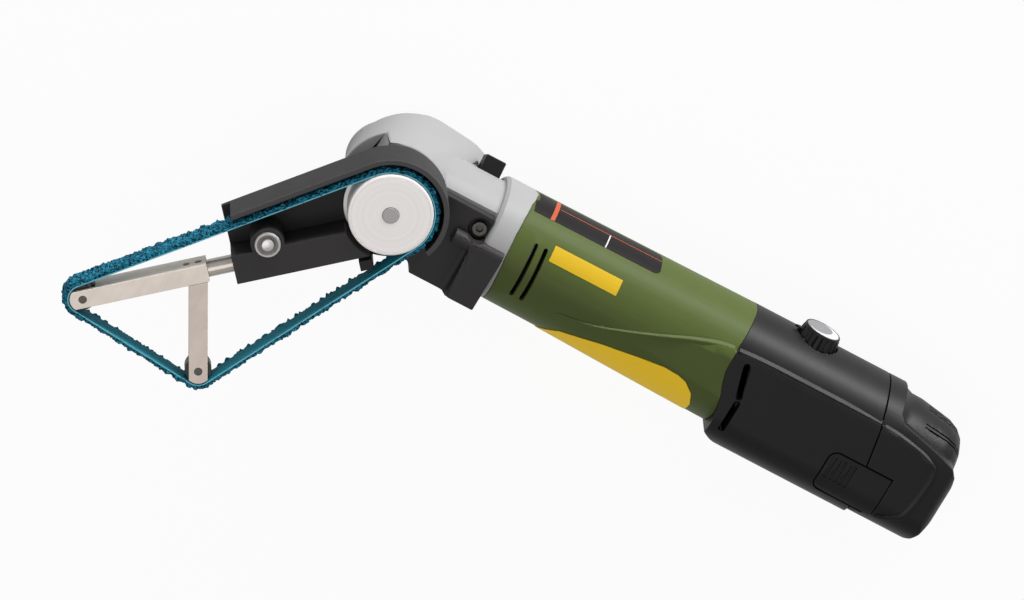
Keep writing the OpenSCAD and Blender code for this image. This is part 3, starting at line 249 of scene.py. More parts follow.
class Colours(bpy.types.PropertyGroup):
    """Main colours, linear."""

    housing: FloatVectorProperty(
        name="Housing", description="Pale gear housing", subtype="COLOR", default=(0.308, 0.308, 0.310))
    green: FloatVectorProperty(
        name="Green", description="Green shells", subtype="COLOR", default=(0.071, 0.096, 0.025))
    black: FloatVectorProperty(
        name="Black", description="Black plastics", subtype="COLOR", default=(0.0082, 0.0072, 0.0079))
    yellow: FloatVectorProperty(
        name="Yellow", description="Grip pad and badge", subtype="COLOR", default=(0.93, 0.60, 0.02))
    stripe: FloatVectorProperty(
        name="Stripe", description="Cross stripe of the label", subtype="COLOR", default=(0.42, 0.075, 0.025))
    fleece: FloatVectorProperty(
        name="Fleece", description="Fleece of the belt", subtype="COLOR", default=(0.004, 0.15, 0.26))


class BeltSizes(bpy.types.PropertyGroup):
    """The belt."""

    pulley_radius: FloatProperty(
        name="Pulley radius", description="Radius of the pulley under the belt", default=16 * MM,
        unit="LENGTH")
    roller_radius: FloatProperty(
        name="Roller radius", description="Radius of the two rollers", default=5 * MM, unit="LENGTH")
    lift: FloatProperty(
        name="Lift", description="Gap between the rollers and the belt", default=0.3 * MM, unit="LENGTH")
    backing: FloatProperty(
        name="Backing", description="Thickness of the cloth backing", default=0.45 * MM, unit="LENGTH")
    thickness: FloatProperty(
        name="Thickness", description="Thickness of the belt with its fleece", default=2.6 * MM,
        unit="LENGTH")
    ragged: FloatProperty(
        name="Raggedness", description="Depth of the tufts of the fleece", default=1.4 * MM, unit="LENGTH")
    step: FloatProperty(
        name="Step", description="Length of a face along the belt", default=0.55 * MM, unit="LENGTH")


class Value:
    """A shader socket that can be used in Python expressions."""

    def __init__(self, finish, socket):
        self.finish = finish
        self.socket = socket

    def _math(self, operation, *terms):
        return self.finish.add("ShaderNodeMath", {"operation": operation}, dict(enumerate(terms)))

    def __add__(self, other):
        return self._math("ADD", self, other)

    __radd__ = __add__

    def __mul__(self, other):
        return self._math("MULTIPLY", self, other)

    __rmul__ = __mul__

    def __pow__(self, other):
        return self._math("POWER", self, other)

    def __rpow__(self, other):
        return self._math("POWER", other, self)

    def __gt__(self, other):
        return self._math("GREATER_THAN", self, other)

    def __lt__(self, other):
        return self._math("LESS_THAN", self, other)


class Finish:
    """One procedural material, built node by node."""

    def __init__(self, name, **constants):
        self.material = bpy.data.materials.new(name)
        self.material.use_nodes = True
        self.tree = self.material.node_tree
        self.tree.nodes.clear()
        self.shader = self.tree.nodes.new("ShaderNodeBsdfPrincipled")
        self.output = self.tree.nodes.new("ShaderNodeOutputMaterial")
        self.tree.links.new(self.shader.outputs[0], self.output.inputs["Surface"])
        for socket, value in constants.items():
            self.set(socket.replace("_", " ").title().replace("Ior", "IOR"), value)

    def feed(self, socket, value):
        """Links a value to a socket, or sets a plain one."""
        if isinstance(value, Value):
            self.tree.links.new(value.socket, socket)
        else:
            socket.default_value = value

    def set(self, socket, value):
        """Feeds a socket of the surface."""
        self.feed(self.shader.inputs[socket], value)
        return self

    def add(self, kind, settings=(), inputs=(), output=0):
        """A node of a kind, with its settings and the values or links of its sockets."""
        node = self.tree.nodes.new(kind)
        for name, value in dict(settings).items():
            if name == "stops":
                ramp = node.color_ramp.elements
                while len(ramp) < len(value):
                    ramp.new(1.0)
                for element, (place, level) in zip(ramp, value):
                    element.position = place
                    element.color = (level, level, level, 1)
            else:
                setattr(node, name, value)
        for name, value in dict(inputs).items():
            self.feed(node.inputs[name], value)
        return Value(self, node.outputs[output])

    def place(self, location=(0, 0, 0), turn=(0, 0, 0), scale=(1, 1, 1)):
        """Object coordinates, moved, turned and scaled."""
        here = self.add("ShaderNodeTexCoord", output="Object")
        return self.add("ShaderNodeMapping", (), {
            "Vector": here, "Location": location, "Rotation": turn, "Scale": scale})

    def axes(self, vector):
        """The three numbers of a vector."""
        first = self.add("ShaderNodeSeparateXYZ", (), {0: vector})
        return [Value(self, socket) for socket in first.socket.node.outputs]

    def noise(self, size, detail, vector=None, rough=0.5):
        """Noise from 0 to 1 whose lumps are about size metres across."""
        return self.add("ShaderNodeTexNoise", (), {
            "Vector": vector or self.place(), "Scale": 1 / size, "Detail": detail, "Roughness": rough})

    def ramp(self, value, stops):
        """Grey level that follows (place, level) stops."""
        return self.add("ShaderNodeValToRGB", {"stops": stops}, {"Fac": value})

    def mix(self, mask, first, second):
        """Colour that goes from first to second with the mask."""
        return self.add("ShaderNodeMix", {"data_type": "RGBA"}, {0: mask, 6: first, 7: second}, output=2)

    def bump(self, height, depth):
        """Height, from 0 to 1, stands for depth metres."""
        return self.set("Normal", self.add("ShaderNodeBump", (), {
            "Height": height, "Distance": depth, "Strength": 1.0}))


def shade(red, green, blue):
    """Linear colour with alpha."""
    return (red, green, blue, 1.0)


def paled(colour, share):
    """Colour with each part multiplied."""
    return shade(*(part * share for part in colour[:3]))


def tint(name):
    """A colour of the settings."""
    return shade(*getattr(settings().colours, name))


# Widths of lumps and depths of grain
MOULD_CLOUD = 9 * MM
MOULD_FINE = 0.35 * MM
FILM_GRAIN = 0.002 * MM
METAL_CLOUD = 7 * MM
METAL_GRAIN = 0.006 * MM
RING_FINE = 0.22 * MM
RING_BROAD = 1.6 * MM
RING_GRAIN = 0.010 * MM
FLEECE_TUFT = 0.8 * MM
FLEECE_FIBRE = 0.24 * MM
FLEECE_GRAIN = 0.7 * MM
CLOTH_CLOUD = 3 * MM
CLOTH_WEAVE = 0.4 * MM
CLOTH_GRAIN = 0.03 * MM
CLOTH_CUT = 0.24 * MM
# Depth below the guard's top within which its near face is painted paler, as painted light
GUARD_LIT_DEPTH = 0.3 * MM

# How far roughness swings with broad, marked and fine patterns
ROUGH_BROAD = 0.12
ROUGH_MARKS = 0.1
ROUGH_FINE = 0.06

# Ramps of the fleece, and shares of its painted shade between tufts and of its painted highlights on the fibre ends
FLEECE_SHADE_RAMP = ((0.44, 0.0), (0.51, 1.0))
FLEECE_GLINT_RAMP = ((0.50, 0.0), (0.60, 1.0))
FLEECE_SHADOW_SHARE = 0.13
FLEECE_GLINT_SHARE = 0.85

# Guard colours: darker walls as painted shade, and a paler near face as painted light
GUARD_SHADED_WALL = shade(0.023, 0.0215, 0.022)
GUARD_LIT_FACE = shade(0.066, 0.061, 0.062)
# Painted highlight colour on the fleece's fibre ends
FLEECE_GLINT_COLOUR = shade(0.05, 0.45, 0.62)
CLOTH_DARK = shade(0.002, 0.115, 0.170)
CLOTH_PALE = shade(0.006, 0.230, 0.310)
CLOTH_EDGE = shade(0.16, 0.50, 0.60)


def moulded(name, colour, roughness, depth=0.012 * MM, worn=0.10, gloss=0.24):
    """Plastic with the fine grain of an eroded mould."""
    finish = Finish(name, specular_ior_level=gloss)
    cloud = finish.noise(MOULD_CLOUD, 3.0)
    fine = finish.noise(MOULD_FINE, 2.0)
    finish.set("Base Color", finish.mix(cloud, paled(colour, 1 - worn), paled(colour, 1 + worn)))
    finish.set("Roughness", roughness - ROUGH_BROAD / 2 + ROUGH_BROAD * cloud + ROUGH_FINE * fine)
    return finish.bump(fine, depth)


def metal(
        name, colour, roughness, streak=(1, 1, 1), size=0.6 * MM, vary=0.10, metallic=0.6,
        turn=(0, 0, 0)):
    """Metal with fine tool marks, stretched along the turned axes by streak."""
    finish = Finish(name, metallic=metallic)
    marks = finish.noise(size, 4.0, finish.place(turn=turn, scale=streak))
    cloud = finish.noise(METAL_CLOUD, 2.0)
    finish.set("Base Color", finish.mix(
        0.5 * marks + 0.5 * cloud, paled(colour, 1 - vary), paled(colour, 1 + vary)))
    finish.set("Roughness", roughness - ROUGH_MARKS / 2 + ROUGH_MARKS * marks + ROUGH_FINE * cloud)
    return finish.bump(marks, METAL_GRAIN)


def turned(name, colour, roughness, metallic, vary):
    """Metal faced on a lathe: fine rings round the spindle."""
    finish = Finish(name, metallic=metallic)
    x, y, _ = finish.axes(finish.place(location=(-SPINDLE.x, -SPINDLE.y, 0)))
    reach = finish.add("ShaderNodeCombineXYZ", (), {0: (x * x + y * y) ** 0.5})
    fine = finish.noise(RING_FINE, 3.0, reach)
    broad = finish.noise(RING_BROAD, 2.0, reach)
    finish.set("Base Color", finish.mix(
        0.6 * fine + 0.4 * broad, paled(colour, 1 - vary), paled(colour, 1 + vary)))
    finish.set("Roughness", roughness - ROUGH_BROAD / 2 + ROUGH_BROAD * fine)
    return finish.bump(fine, RING_GRAIN)


def alloy(name, colour, turn):
    """Brushed alloy of the arm, with marks that run along it."""
    return metal(
        name, colour, 0.36, streak=(1, 0.15, 0.15), size=2.6 * MM, vary=0.26, metallic=0.12, turn=turn)


def guard_with_painted_light(name):
    """Sheet guard whose near face is painted paler than its walls: painted light on the near face and painted shade on
    the walls.
    """
    finish = moulded(name, GUARD_SHADED_WALL, 0.45, gloss=0.16)
    _, _, height = finish.axes(finish.place())
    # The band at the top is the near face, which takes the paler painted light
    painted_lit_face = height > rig.box("belt_guard")[1].z - GUARD_LIT_DEPTH
    return finish.set("Base Color", finish.mix(painted_lit_face, GUARD_SHADED_WALL, GUARD_LIT_FACE))


def belt_fleece(name):
    """Non-woven fleece: matted fibres, with painted shade between the tufts and painted highlights on the fibres'
    ends.
    """
    finish = Finish(name, specular_ior_level=0.25)
    colour = tint("fleece")
    tuft = finish.noise(FLEECE_TUFT, 3.0, rough=0.6)
    fibre = finish.noise(FLEECE_FIBRE, 2.0)
    painted_shade_mask = finish.ramp(tuft, FLEECE_SHADE_RAMP)
    painted_glints = finish.ramp(fibre, FLEECE_GLINT_RAMP)
    body = finish.mix(painted_shade_mask, paled(colour, FLEECE_SHADOW_SHARE), colour)
    finish.set("Base Color", finish.mix(painted_glints * painted_shade_mask * FLEECE_GLINT_SHARE, body, FLEECE_GLINT_COLOUR))
    finish.set("Roughness", 0.85)
    return finish.bump(tuft + 0.5 * fibre, FLEECE_GRAIN)


def belt_backing(name):
    """Woven cloth backing of the belt, soaked with teal resin, with a pale cut edge."""
    finish = Finish(name, specular_ior_level=0.2)
    cloud = finish.noise(CLOTH_CLOUD, 4.0)
    weave = finish.noise(CLOTH_WEAVE, 2.0)
    _, _, height = finish.axes(finish.place())
    cut = height > BELT_HIGH - CLOTH_CUT
    cloth = finish.mix(0.6 * cloud + 0.4 * weave, CLOTH_DARK, CLOTH_PALE)
    finish.set("Base Color", finish.mix(cut, cloth, CLOTH_EDGE))
    finish.set("Roughness", 0.7 + ROUGH_MARKS * weave)
    return finish.bump(weave, CLOTH_GRAIN)


ARM_TURN = (0, 0, -math.atan2(ARM.y, ARM.x))
STRUT_TURN = (0, 0, ARM_TURN[2] + math.pi / 2)
MAKERS = {
    "housing_grey": lambda name: moulded(name, tint("housing"), 0.42, depth=0.006 * MM, worn=0.03),
    "black_plastic": lambda name: moulded(name, tint("black"), 0.38),
    "green_plastic": lambda name: moulded(name, tint("green"), 0.40, worn=0.04, gloss=0.13),
    "yellow_rubber": lambda name: moulded(name, tint("yellow"), 0.55, worn=0.04),
    "carrier_black": lambda name: moulded(name, shade(0.026, 0.0235, 0.025), 0.5, gloss=0.25),
    "guard_grey": guard_with_painted_light,
    "block_grey": lambda name: moulded(name, shade(0.034, 0.031, 0.032), 0.42, gloss=0.2),
    "label_film": lambda name: moulded(
        name, shade(0.010, 0.0082, 0.0090), 0.36, depth=FILM_GRAIN, gloss=0.14),
    "badge_film": lambda name: moulded(
        name, paled(tint("yellow"), 0.60), 0.4, depth=FILM_GRAIN, worn=0.02),
    "stripe_film": lambda name: moulded(name, tint("stripe"), 0.4, depth=FILM_GRAIN, worn=0.03),
    "mark_white": lambda name: moulded(name, shade(0.56, 0.56, 0.57), 0.45, worn=0.02),
    # Near-black: on the motor can it is painted shade seen through the vent slots
    "slot_dark": lambda name: moulded(name, shade(0.004, 0.004, 0.004), 0.7, gloss=0.1),
    "steel": lambda name: metal(name, shade(0.66, 0.64, 0.62), 0.26),
    "spindle_end": lambda name: metal(name, shade(0.40, 0.375, 0.37), 0.34, metallic=0.15),
    "screw_dark": lambda name: metal(name, shade(0.085, 0.078, 0.072), 0.32, metallic=0.5),
    "bushing_steel": lambda name: metal(name, shade(0.40, 0.39, 0.38), 0.26),
    "dark_steel": lambda name: metal(name, shade(0.16, 0.155, 0.15), 0.35, metallic=0.8),
    "rod_steel": lambda name: metal(
        name, shade(0.62, 0.56, 0.50), 0.16, streak=(1, 0.1, 0.1), size=1.2 * MM, vary=0.05,
        metallic=0.5, turn=ARM_TURN),
    "spring_steel": lambda name: metal(name, shade(0.50, 0.50, 0.50), 0.25, metallic=0.9),
    "arm_alloy": lambda name: alloy(name, shade(0.82, 0.72, 0.635), ARM_TURN),
    "strut_alloy": lambda name: alloy(name, shade(0.68, 0.575, 0.51), STRUT_TURN),
    "pulley_alloy": lambda name: turned(name, shade(0.93, 0.885, 0.86), 0.34, metallic=0.10, vary=0.26),
    "belt_fleece": belt_fleece,
    "belt_backing": belt_backing,
    "roller_black": lambda name: moulded(name, shade(0.05, 0.05, 0.05), 0.4),
    "copper_winding": lambda name: metal(name, shade(0.55, 0.25, 0.12), 0.35, metallic=0.9),
    "board_green": lambda name: moulded(name, shade(0.02, 0.15, 0.06), 0.35),
    "pot_blue": lambda name: moulded(name, shade(0.06, 0.12, 0.32), 0.4),
    "contact_brown": lambda name: moulded(name, shade(0.16, 0.09, 0.05), 0.5),
    "disc_grey": lambda name: moulded(name, shade(0.20, 0.20, 0.21), 0.4),
    "terminal_brass": lambda name: metal(name, shade(0.72, 0.50, 0.20), 0.25, metallic=0.9),
    "cell_wrap": lambda name: moulded(name, shade(0.05, 0.20, 0.32), 0.25),
}
FINISHES = {}


def finish_of(name):
    """A material, made when it is first asked for."""
    if name not in FINISHES:
        FINISHES[name] = MAKERS[name](name).material
    return FINISHES[name]


def flat_first(mesh, sharp):
    """Gives each corner a normal that follows the larger faces round it, up to the angle sharp.

    So flat faces stay flat beside rounded edges."""
    limit = math.cos(math.radians(sharp))
    around = [[] for _ in mesh.vertices]
    for face in mesh.polygons:
        for vert in face.vertices:
            around[vert].append((face.normal.copy(), face.area))
    normals = []
    for face in mesh.polygons:
        for vert in face.vertices:
            total = sum((n * area for n, area in around[vert] if n.dot(face.normal) > limit), Vector())
            normals.append(total.normalized() if total.length else face.normal.copy())
    mesh.normals_split_custom_set(normals)


def piece(name, bm, body, slot, replaces=(), sharp=32, finish=None, bend=(), weighted=False):
    """Turns a bmesh into an object that rides on a body, or bends towards a second one between two points."""
    mesh = bpy.data.meshes.new(name)
    bm.to_mesh(mesh)
    bm.free()
    mesh.shade_smooth()
    if weighted:
        flat_first(mesh, sharp)
    else:
        mesh.set_sharp_from_angle(angle=math.radians(sharp))
    obj = bpy.data.objects.new(name, mesh)
    bpy.context.scene.collection.objects.link(obj)
    mesh.materials.append(finish_of(finish or slot))
    if bend:
        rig.blend(obj, body, *bend)
    else:
        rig.ride(obj, body)
    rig.slot(obj, slot)
    if replaces:
        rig.replaces(obj, *replaces)


BODY_OF = {node: body for body, nodes in frame["record"]["behaviour"]["bodies"].items() for node in nodes}
SLOT_OF = {part["node"]: part["material_slot"] for part in frame["record"]["subparts"]}


def copied(node):
    """A merged copy of a solid's faces."""
    bm = bmesh.new()
    bm.from_mesh(frame["nodes"][node].data)
    bmesh.ops.remove_doubles(bm, verts=bm.verts, dist=COPY_WELD)
    return bm


# Widths of the rounded edges
ROUND_OF = {
    "gear_housing": 0.7 * MM,
    "gear_cap": 0.4 * MM,
    "head_carrier": 0.5 * MM,
    "clamp_screw": 0.2 * MM,
    "belt_guard": 0.3 * MM,
    "rod_block": 0.3 * MM,
    "lock_button": 0.5 * MM,
    "drive_spindle": 0.3 * MM,
    "arm_bar": 0.25 * MM,
    "tip_roller": 0.25 * MM,
    "strut_roller": 0.25 * MM,
    "arm_strut": 0.25 * MM,
    "tension_rod": 0.25 * MM,
    "tip_axle": 0.15 * MM,
    "strut_axle": 0.15 * MM,
    "set_screws": 0.15 * MM,
    "handle_shell_near": 0.35 * MM,
    "handle_shell_far": 0.35 * MM,
    "grip_pad": 0.3 * MM,
    "handle_screws": 0.2 * MM,
    "rear_shell_near": 0.25 * MM,
    "rear_shell_far": 0.25 * MM,
    "rear_screws": 0.2 * MM,
    "dial_disc": 0.15 * MM,
    "battery_case": 0.35 * MM,
    "battery_lid": 0.4 * MM,
    "battery_latch_near": 0.4 * MM,
    "battery_latch_far": 0.4 * MM,
}
FIRST_SEGMENTS = 6
SHORTEST_EDGE = 1e-6 * MM
THROWN_SHARE = 0.6


def softened(node, segments=2, angle=34, finish=None, skip=None, room=1.5, first=None, sharp=40, flat=0.6):
    """A copy of a solid with its edges rounded, shown in its place.

    Faces within the angle flat of one another are joined first, and edges that turn by less than angle are
    left alone. first is (test, width) for edges that are rounded more, before the rest. Edges for which skip
    holds, and edges of faces narrower than room times the width, stay sharp."""
    width = ROUND_OF[node]
    bm = copied(node)
    bmesh.ops.dissolve_limit(
        bm, angle_limit=math.radians(flat), use_dissolve_boundaries=False, verts=bm.verts, edges=bm.edges)
    if first:
        test, more = first
        chosen = [edge for edge in bm.edges if test(*(vert.co for vert in edge.verts))]
        bevel(bm, chosen, more, FIRST_SEGMENTS)
    edges = []
    for edge in bm.edges:
        if len(edge.link_faces) != 2 or edge.calc_face_angle(0) < math.radians(angle):
            continue
        narrow = min(face.calc_area() for face in edge.link_faces) / max(edge.calc_length(), SHORTEST_EDGE)
        if narrow > room * width and not (skip and skip(*(vert.co for vert in edge.verts))):
            edges.append(edge)
    bevel(bm, edges, width, segments)
    piece("soft_" + node, bm, BODY_OF[node], SLOT_OF[node], (node,), sharp, finish, weighted=True)


def bevel(bm, edges, width, segments):
    """Rounds edges and pulls back corners that a round has thrown off the surface."""
    skin = BVHTree.FromBMesh(bm)
    bmesh.ops.bevel(
        bm, geom=edges, offset=width, offset_type="OFFSET", segments=segments, profile=0.5,
        affect="EDGES", clamp_overlap=False, material=-1, loop_slide=True)
    for vert in bm.verts:
        near, _, _, gap = skin.find_nearest(vert.co)
        if gap > THROWN_SHARE * width:
            vert.co = near


SPLIT_TOLERANCE = 0.2 * MM
# Places along and across the handle of the vents and of the slots' ends
VENTS_X = (54 * MM, 62.5 * MM)
SLOT_ENDS_X = (150.5 * MM, 155 * MM)
SLOT_ENDS_Y = (-20.5 * MM, -3.5 * MM)


def within(value, zone):
    """True between the two ends of a zone."""
    return zone[0] < value < zone[1]


def on_split(first, last):
    """True for an edge that lies in the plane where the two halves of the handle meet."""
    return all(abs(v.z - AXIS_Z) < SPLIT_TOLERANCE for v in (first, last))


def front_sharp(first, last):
    """True for edges that stay sharp on the green shells: the split, and the two vents."""
    return on_split(first, last) or all(within(v.x, VENTS_X) for v in (first, last))


def rear_sharp(first, last):
    """True for edges that stay sharp on the rear shells: the split, and the ends of the two slots."""
    return on_split(first, last) or all(
        within(v.x, SLOT_ENDS_X) and within(v.y, SLOT_ENDS_Y) for v in (first, last))


def lathe(profile, middle, steps):
    """A body of revolution about +Z from (radius, height) pairs that close into a ring."""
    bm = bmesh.new()
    verts = [bm.verts.new((middle.x + radius, middle.y, height)) for radius, height in profile]
    edges = [bm.edges.new((verts[k - 1], verts[k])) for k in range(len(verts))]
    bmesh.ops.spin(
        bm, geom=verts + edges, cent=middle, axis=UP, angle=2 * math.pi, steps=steps, use_merge=True)
    bmesh.ops.remove_doubles(bm, verts=bm.verts, dist=WELD)
    bmesh.ops.recalc_face_normals(bm, faces=bm.faces)
    return bm


def skin_of(*nodes):
    """Search tree over the faces of some solids."""
    bm = bmesh.new()
    for node in nodes:
        bm.from_mesh(frame["nodes"][node].data)
    tree = BVHTree.FromBMesh(bm)
    bm.free()
    return tree


def laid(name, tree, ray, across, along, thick, body, slot, finish, lift=None):
    """A thin film on a surface. ray(u, v) gives the start and direction that find each corner."""

    def place(u, v):
        start, way = ray(u, v)
        return tree.ray_cast(start, way)[0] - way * (thick if lift is None else lift)

    bm = grid(across, along, place)
    bmesh.ops.solidify(bm, geom=bm.faces[:], thickness=thick)
    bmesh.ops.recalc_face_normals(bm, faces=bm.faces)
    piece(name, bm, body, slot, finish=finish)


RAY_START = 60 * MM


def to_handle(x, angle):
    """Start and direction of a ray to the handle's axis, angle from the near side to the top."""
    out = Vector((0, math.sin(angle), math.cos(angle)))
    return Vector((x, 0, AXIS_Z)) + RAY_START * out, -out


# Section of a lip, as shares of its reach and height, from its outer foot over its crest
LIP_OUTER = ((1.0, -0.5), (1.0, 0.0), (0.55, 0.45), (0.2, 0.8), (0.0, 0.93))
LIP_INNER = ((-0.18, 0.93), (-0.5, 0.55), (-1.0, 0.0), (-1.0, -0.5))
# The way that the outer flank faces, from the near side to the top, and the limits of its slope
LIP_LOOK = math.radians(54)
LIP_FLATTEST = math.radians(25)
LIP_STEEPEST = math.radians(72)
# Heights that the inner flank runs out over
LIP_RUN_OUT = 2.2
# Steps between two points of a path, and rounds of smoothing
LIP_STEPS = 8
LIP_SMOOTHING = 6
LIP_END_RATE = 30
LIP_SHARP = 38


def lip(name, tree, path, height, ends, fade, body, slot):
    """A lip on the handle along (x in mm, degrees from the near side to the top), and its far twin.

    Its outer flank leans so that it looks up, and its inner flank runs out. ends are the shares of the
    height that it has at its two ends, and fade is the share of its length in which it would grow from
    nothing at its first end."""
    section = LIP_OUTER + LIP_INNER
    for side, sign in (("near", -1), ("far", 1)):
        spots = []
        for k in range(LIP_STEPS * (len(path) - 1) + 1):
            leg = min(k // LIP_STEPS, len(path) - 2)
            x, turn = Vector(path[leg]).lerp(Vector(path[leg + 1]), k / LIP_STEPS - leg)
            turn = math.radians(turn)
            ray = to_handle(x * MM, turn if side == "near" else math.pi - turn)
            spot = tree.ray_cast(*ray)[0]
            if spot:
                spots.append((spot, -ray[1], turn))
        for _ in range(LIP_SMOOTHING):
            inner = [
                ((a[0] + b[0] + c[0]) / 3, b[1], b[2]) for a, b, c in zip(spots, spots[1:], spots[2:])]
            spots = spots[:1] + inner + spots[-1:]
        last = len(spots) - 1

        def place(u, v):
            k = min(last, round(u * last))
            spot, out, turn = spots[k]
            run = spots[min(last, k + 1)][0] - spots[max(0, k - 1)][0]
            outward = sign * run.cross(out).normalized()
            lean = min(LIP_STEEPEST, max(LIP_FLATTEST, LIP_LOOK - turn))
            share, level = section[round(v * len(section)) % len(section)]
            reach = height / math.tan(lean) if share > 0 else LIP_RUN_OUT * height
            taper = min(1.0, ends[0] + u / fade, ends[1] + LIP_END_RATE * (1 - u))
            spot = spot + taper * (outward * share * reach + out * level * height)
            spot.z = min(CAD_BOX[1].z, max(CAD_BOX[0].z, spot.z))
            return spot

        bm = grid(last, len(section), place, closed=True)
        piece(f"{name}_{side}", bm, body, slot, sharp=LIP_SHARP, weighted=True)


def on_arm(along, height):
    """Point at a distance from the spindle along the arm."""
    return Vector((SPINDLE.x, SPINDLE.y, height)) + ARM * along


def grid(across, along, place, closed=False):
    """A sheet of faces whose corners lie at place(u, v), with u and v from 0 to 1.

    A closed one has its meeting edges joined."""
    bm = bmesh.new()
    bmesh.ops.create_grid(bm, x_segments=across, y_segments=along, size=0.5)
    for vert in bm.verts:
        vert.co = place(vert.co.x + 0.5, vert.co.y + 0.5)
    if closed:
        bmesh.ops.remove_doubles(bm, verts=bm.verts, dist=WELD)
    bmesh.ops.recalc_face_normals(bm, faces=bm.faces)
    return bm


def settings():
    """All settings of the sander."""
    return bpy.context.scene.pipe_sander


# Sensor in millimetres, and the furthest that the camera sees in metres
SENSOR_WIDTH = 36
CLIP_END = 100
# Name, place and size in metres, and power in watts
LAMPS = (
    ("top_softbox", (0.10, 1.25, 0.15), (2.0, 0.22), 30),
    ("front_fill", (-0.25, -0.35, 1.5), (1.2, 1.2), 6.2))
WHITE = (1, 1, 1, 1)
WORLD_STRENGTH = 0.40
FLOOR_REACH = 20
FLOOR_AIR = 0.1 * MM
FLOOR_COLOUR = shade(0.82, 0.82, 0.82)
GLOW_SEEN_SHARE = 0.93
GLOW_MIRRORED_SHARE = 0.5


class PIPESANDER_OT_stage(bpy.types.Operator):
    """Camera, floor and lights"""

    bl_idname = "pipe_sander.stage"
    bl_label = "Stage"

    def execute(self, context):
        view = settings().view
        right = Vector(view.right).normalized()
        back = Vector(view.back).normalized()
        up = back.cross(right)
        pixel = MM / view.pixels_per_mm
        middle = Vector((SPINDLE.x, SPINDLE.y, AXIS_Z))
        middle += right * (view.image_width / 2 - view.spindle_pixel[0]) * pixel
        middle -= up * (view.image_height / 2 - view.spindle_pixel[1]) * pixel
        data = bpy.data.cameras.new("camera")
        data.sensor_width = SENSOR_WIDTH
        data.lens = data.sensor_width * view.distance / (view.image_width * pixel)
        data.clip_end = CLIP_END
        camera = bpy.data.objects.new("camera", data)
        camera.matrix_world = Matrix((right, up, back)).transposed().to_4x4()
        camera.location = middle + back * view.distance
        context.scene.collection.objects.link(camera)
        context.scene.camera = camera
        self.floor()
        for lamp in LAMPS:
            self.lamp(*lamp, middle)
        self.world()
        context.scene.view_settings.view_transform = "Standard"
        return {"FINISHED"}

    def lamp(self, name, place, size, power, aim):
        """A rectangular lamp that points at aim."""
        data = bpy.data.lights.new(name, "AREA")
        data.shape = "RECTANGLE"
        data.size, data.size_y = size
        data.energy = power
        lamp = bpy.data.objects.new(name, data)
        lamp.location = place
        lamp.rotation_euler = (aim - Vector(place)).to_track_quat("-Z", "Y").to_euler()
        bpy.context.scene.collection.objects.link(lamp)

    def world(self):
        """Even white light from all around."""
        world = bpy.data.worlds.new("studio")
        bpy.context.scene.world = world
        world.use_nodes = True
        background = world.node_tree.nodes["Background"]
        background.inputs["Color"].default_value = WHITE
        background.inputs["Strength"].default_value = WORLD_STRENGTH

    def floor(self):
        """White floor under the tool, which glows for the camera and in reflections."""
        bm = bmesh.new()
        bmesh.ops.create_grid(bm, x_segments=1, y_segments=1, size=FLOOR_REACH)
        bmesh.ops.translate(bm, verts=bm.verts, vec=(0, 0, CAD_BOX[0].z - FLOOR_AIR))
        mesh = bpy.data.meshes.new("floor")
        bm.to_mesh(mesh)
        bm.free()
        floor = bpy.data.objects.new("floor", mesh)
        bpy.context.scene.collection.objects.link(floor)
        finish = Finish("floor_white", roughness=0.9, specular_ior_level=0.1)
        finish.set("Base Color", FLOOR_COLOUR)
        seen = finish.add("ShaderNodeLightPath", output="Is Camera Ray")
        mirrored = finish.add("ShaderNodeLightPath", output="Is Glossy Ray")
        glow = finish.add("ShaderNodeEmission", (), {"Color": WHITE, "Strength": 1.0})
        share = GLOW_SEEN_SHARE * seen + GLOW_MIRRORED_SHARE * mirrored
        mixed = finish.add("ShaderNodeMixShader", (), {
            0: share, 1: Value(finish, finish.shader.outputs[0]), 2: glow})
        finish.tree.links.new(mixed.socket, finish.output.inputs["Surface"])
        mesh.materials.append(finish.material)
        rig.stage(floor)


class PIPESANDER_OT_inner(bpy.types.Operator):
    """Finishes of the solids that stay as they are"""

    bl_idname = "pipe_sander.inner"
    bl_label = "Inner pieces"

    def execute(self, context):
        for node, obj in frame["nodes"].items():
            obj.data.materials.clear()
            # The motor can is darkened to near-black as painted shade behind the vent slots
            obj.data.materials.append(finish_of("slot_dark" if node == "motor_can" else SLOT_OF[node]))
        return {"FINISHED"}


# Carrier: the saddle's step from its rear end, its round, and how near to it an edge has to lie
SADDLE_STEP = 11.9 * MM
SADDLE_ROUND = 2.4 * MM
SADDLE_TOLERANCE = 0.15 * MM
# Arm latch
RING_AIR = 0.08 * MM
RING_DISH = 1.5 * MM
PIN_EDGE = 0.4 * MM
PIN_EDGE_SHARE = 0.3
PIN_AIR = 0.15 * MM
# Pulley: air round the spindle, heights of its flange and of the start of its running face, bore edge
PULLEY_AIR = 0.05 * MM
PULLEY_FLANGE = 1.0 * MM
PULLEY_ROOT = 1.4 * MM
PULLEY_BORE_EDGE = 0.35 * MM
# Way in from the outside and down from the face, in mm
RING_MOUTH = ((1.15, 0.35), (0.85, 0), (0.25, 0), (0, 0.25))
PULLEY_RIM = ((0, 0.6), (0.2, 0.15), (0.55, 0))
PULLEY_GROOVE = ((0.95, 0), (1.05, 0.12), (1.2, 0.12), (1.3, 0))


def half_width(node):
    """Half the width of a solid, which is the radius of a round one."""
    low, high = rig.box(node)
    return (high.x - low.x) / 2


def face_points(points, reach, top):
    """Profile points from pairs of ways in from the outside and down from the face."""
    return [(reach - inward * MM, top - down * MM) for inward, down in points]


def turned_piece(name, node, profile, middle, steps, finish=None):
    """A lathe piece shown in the place of a solid."""
    piece(name, lathe(profile, middle, steps), BODY_OF[node], SLOT_OF[node], (node,), finish=finish)


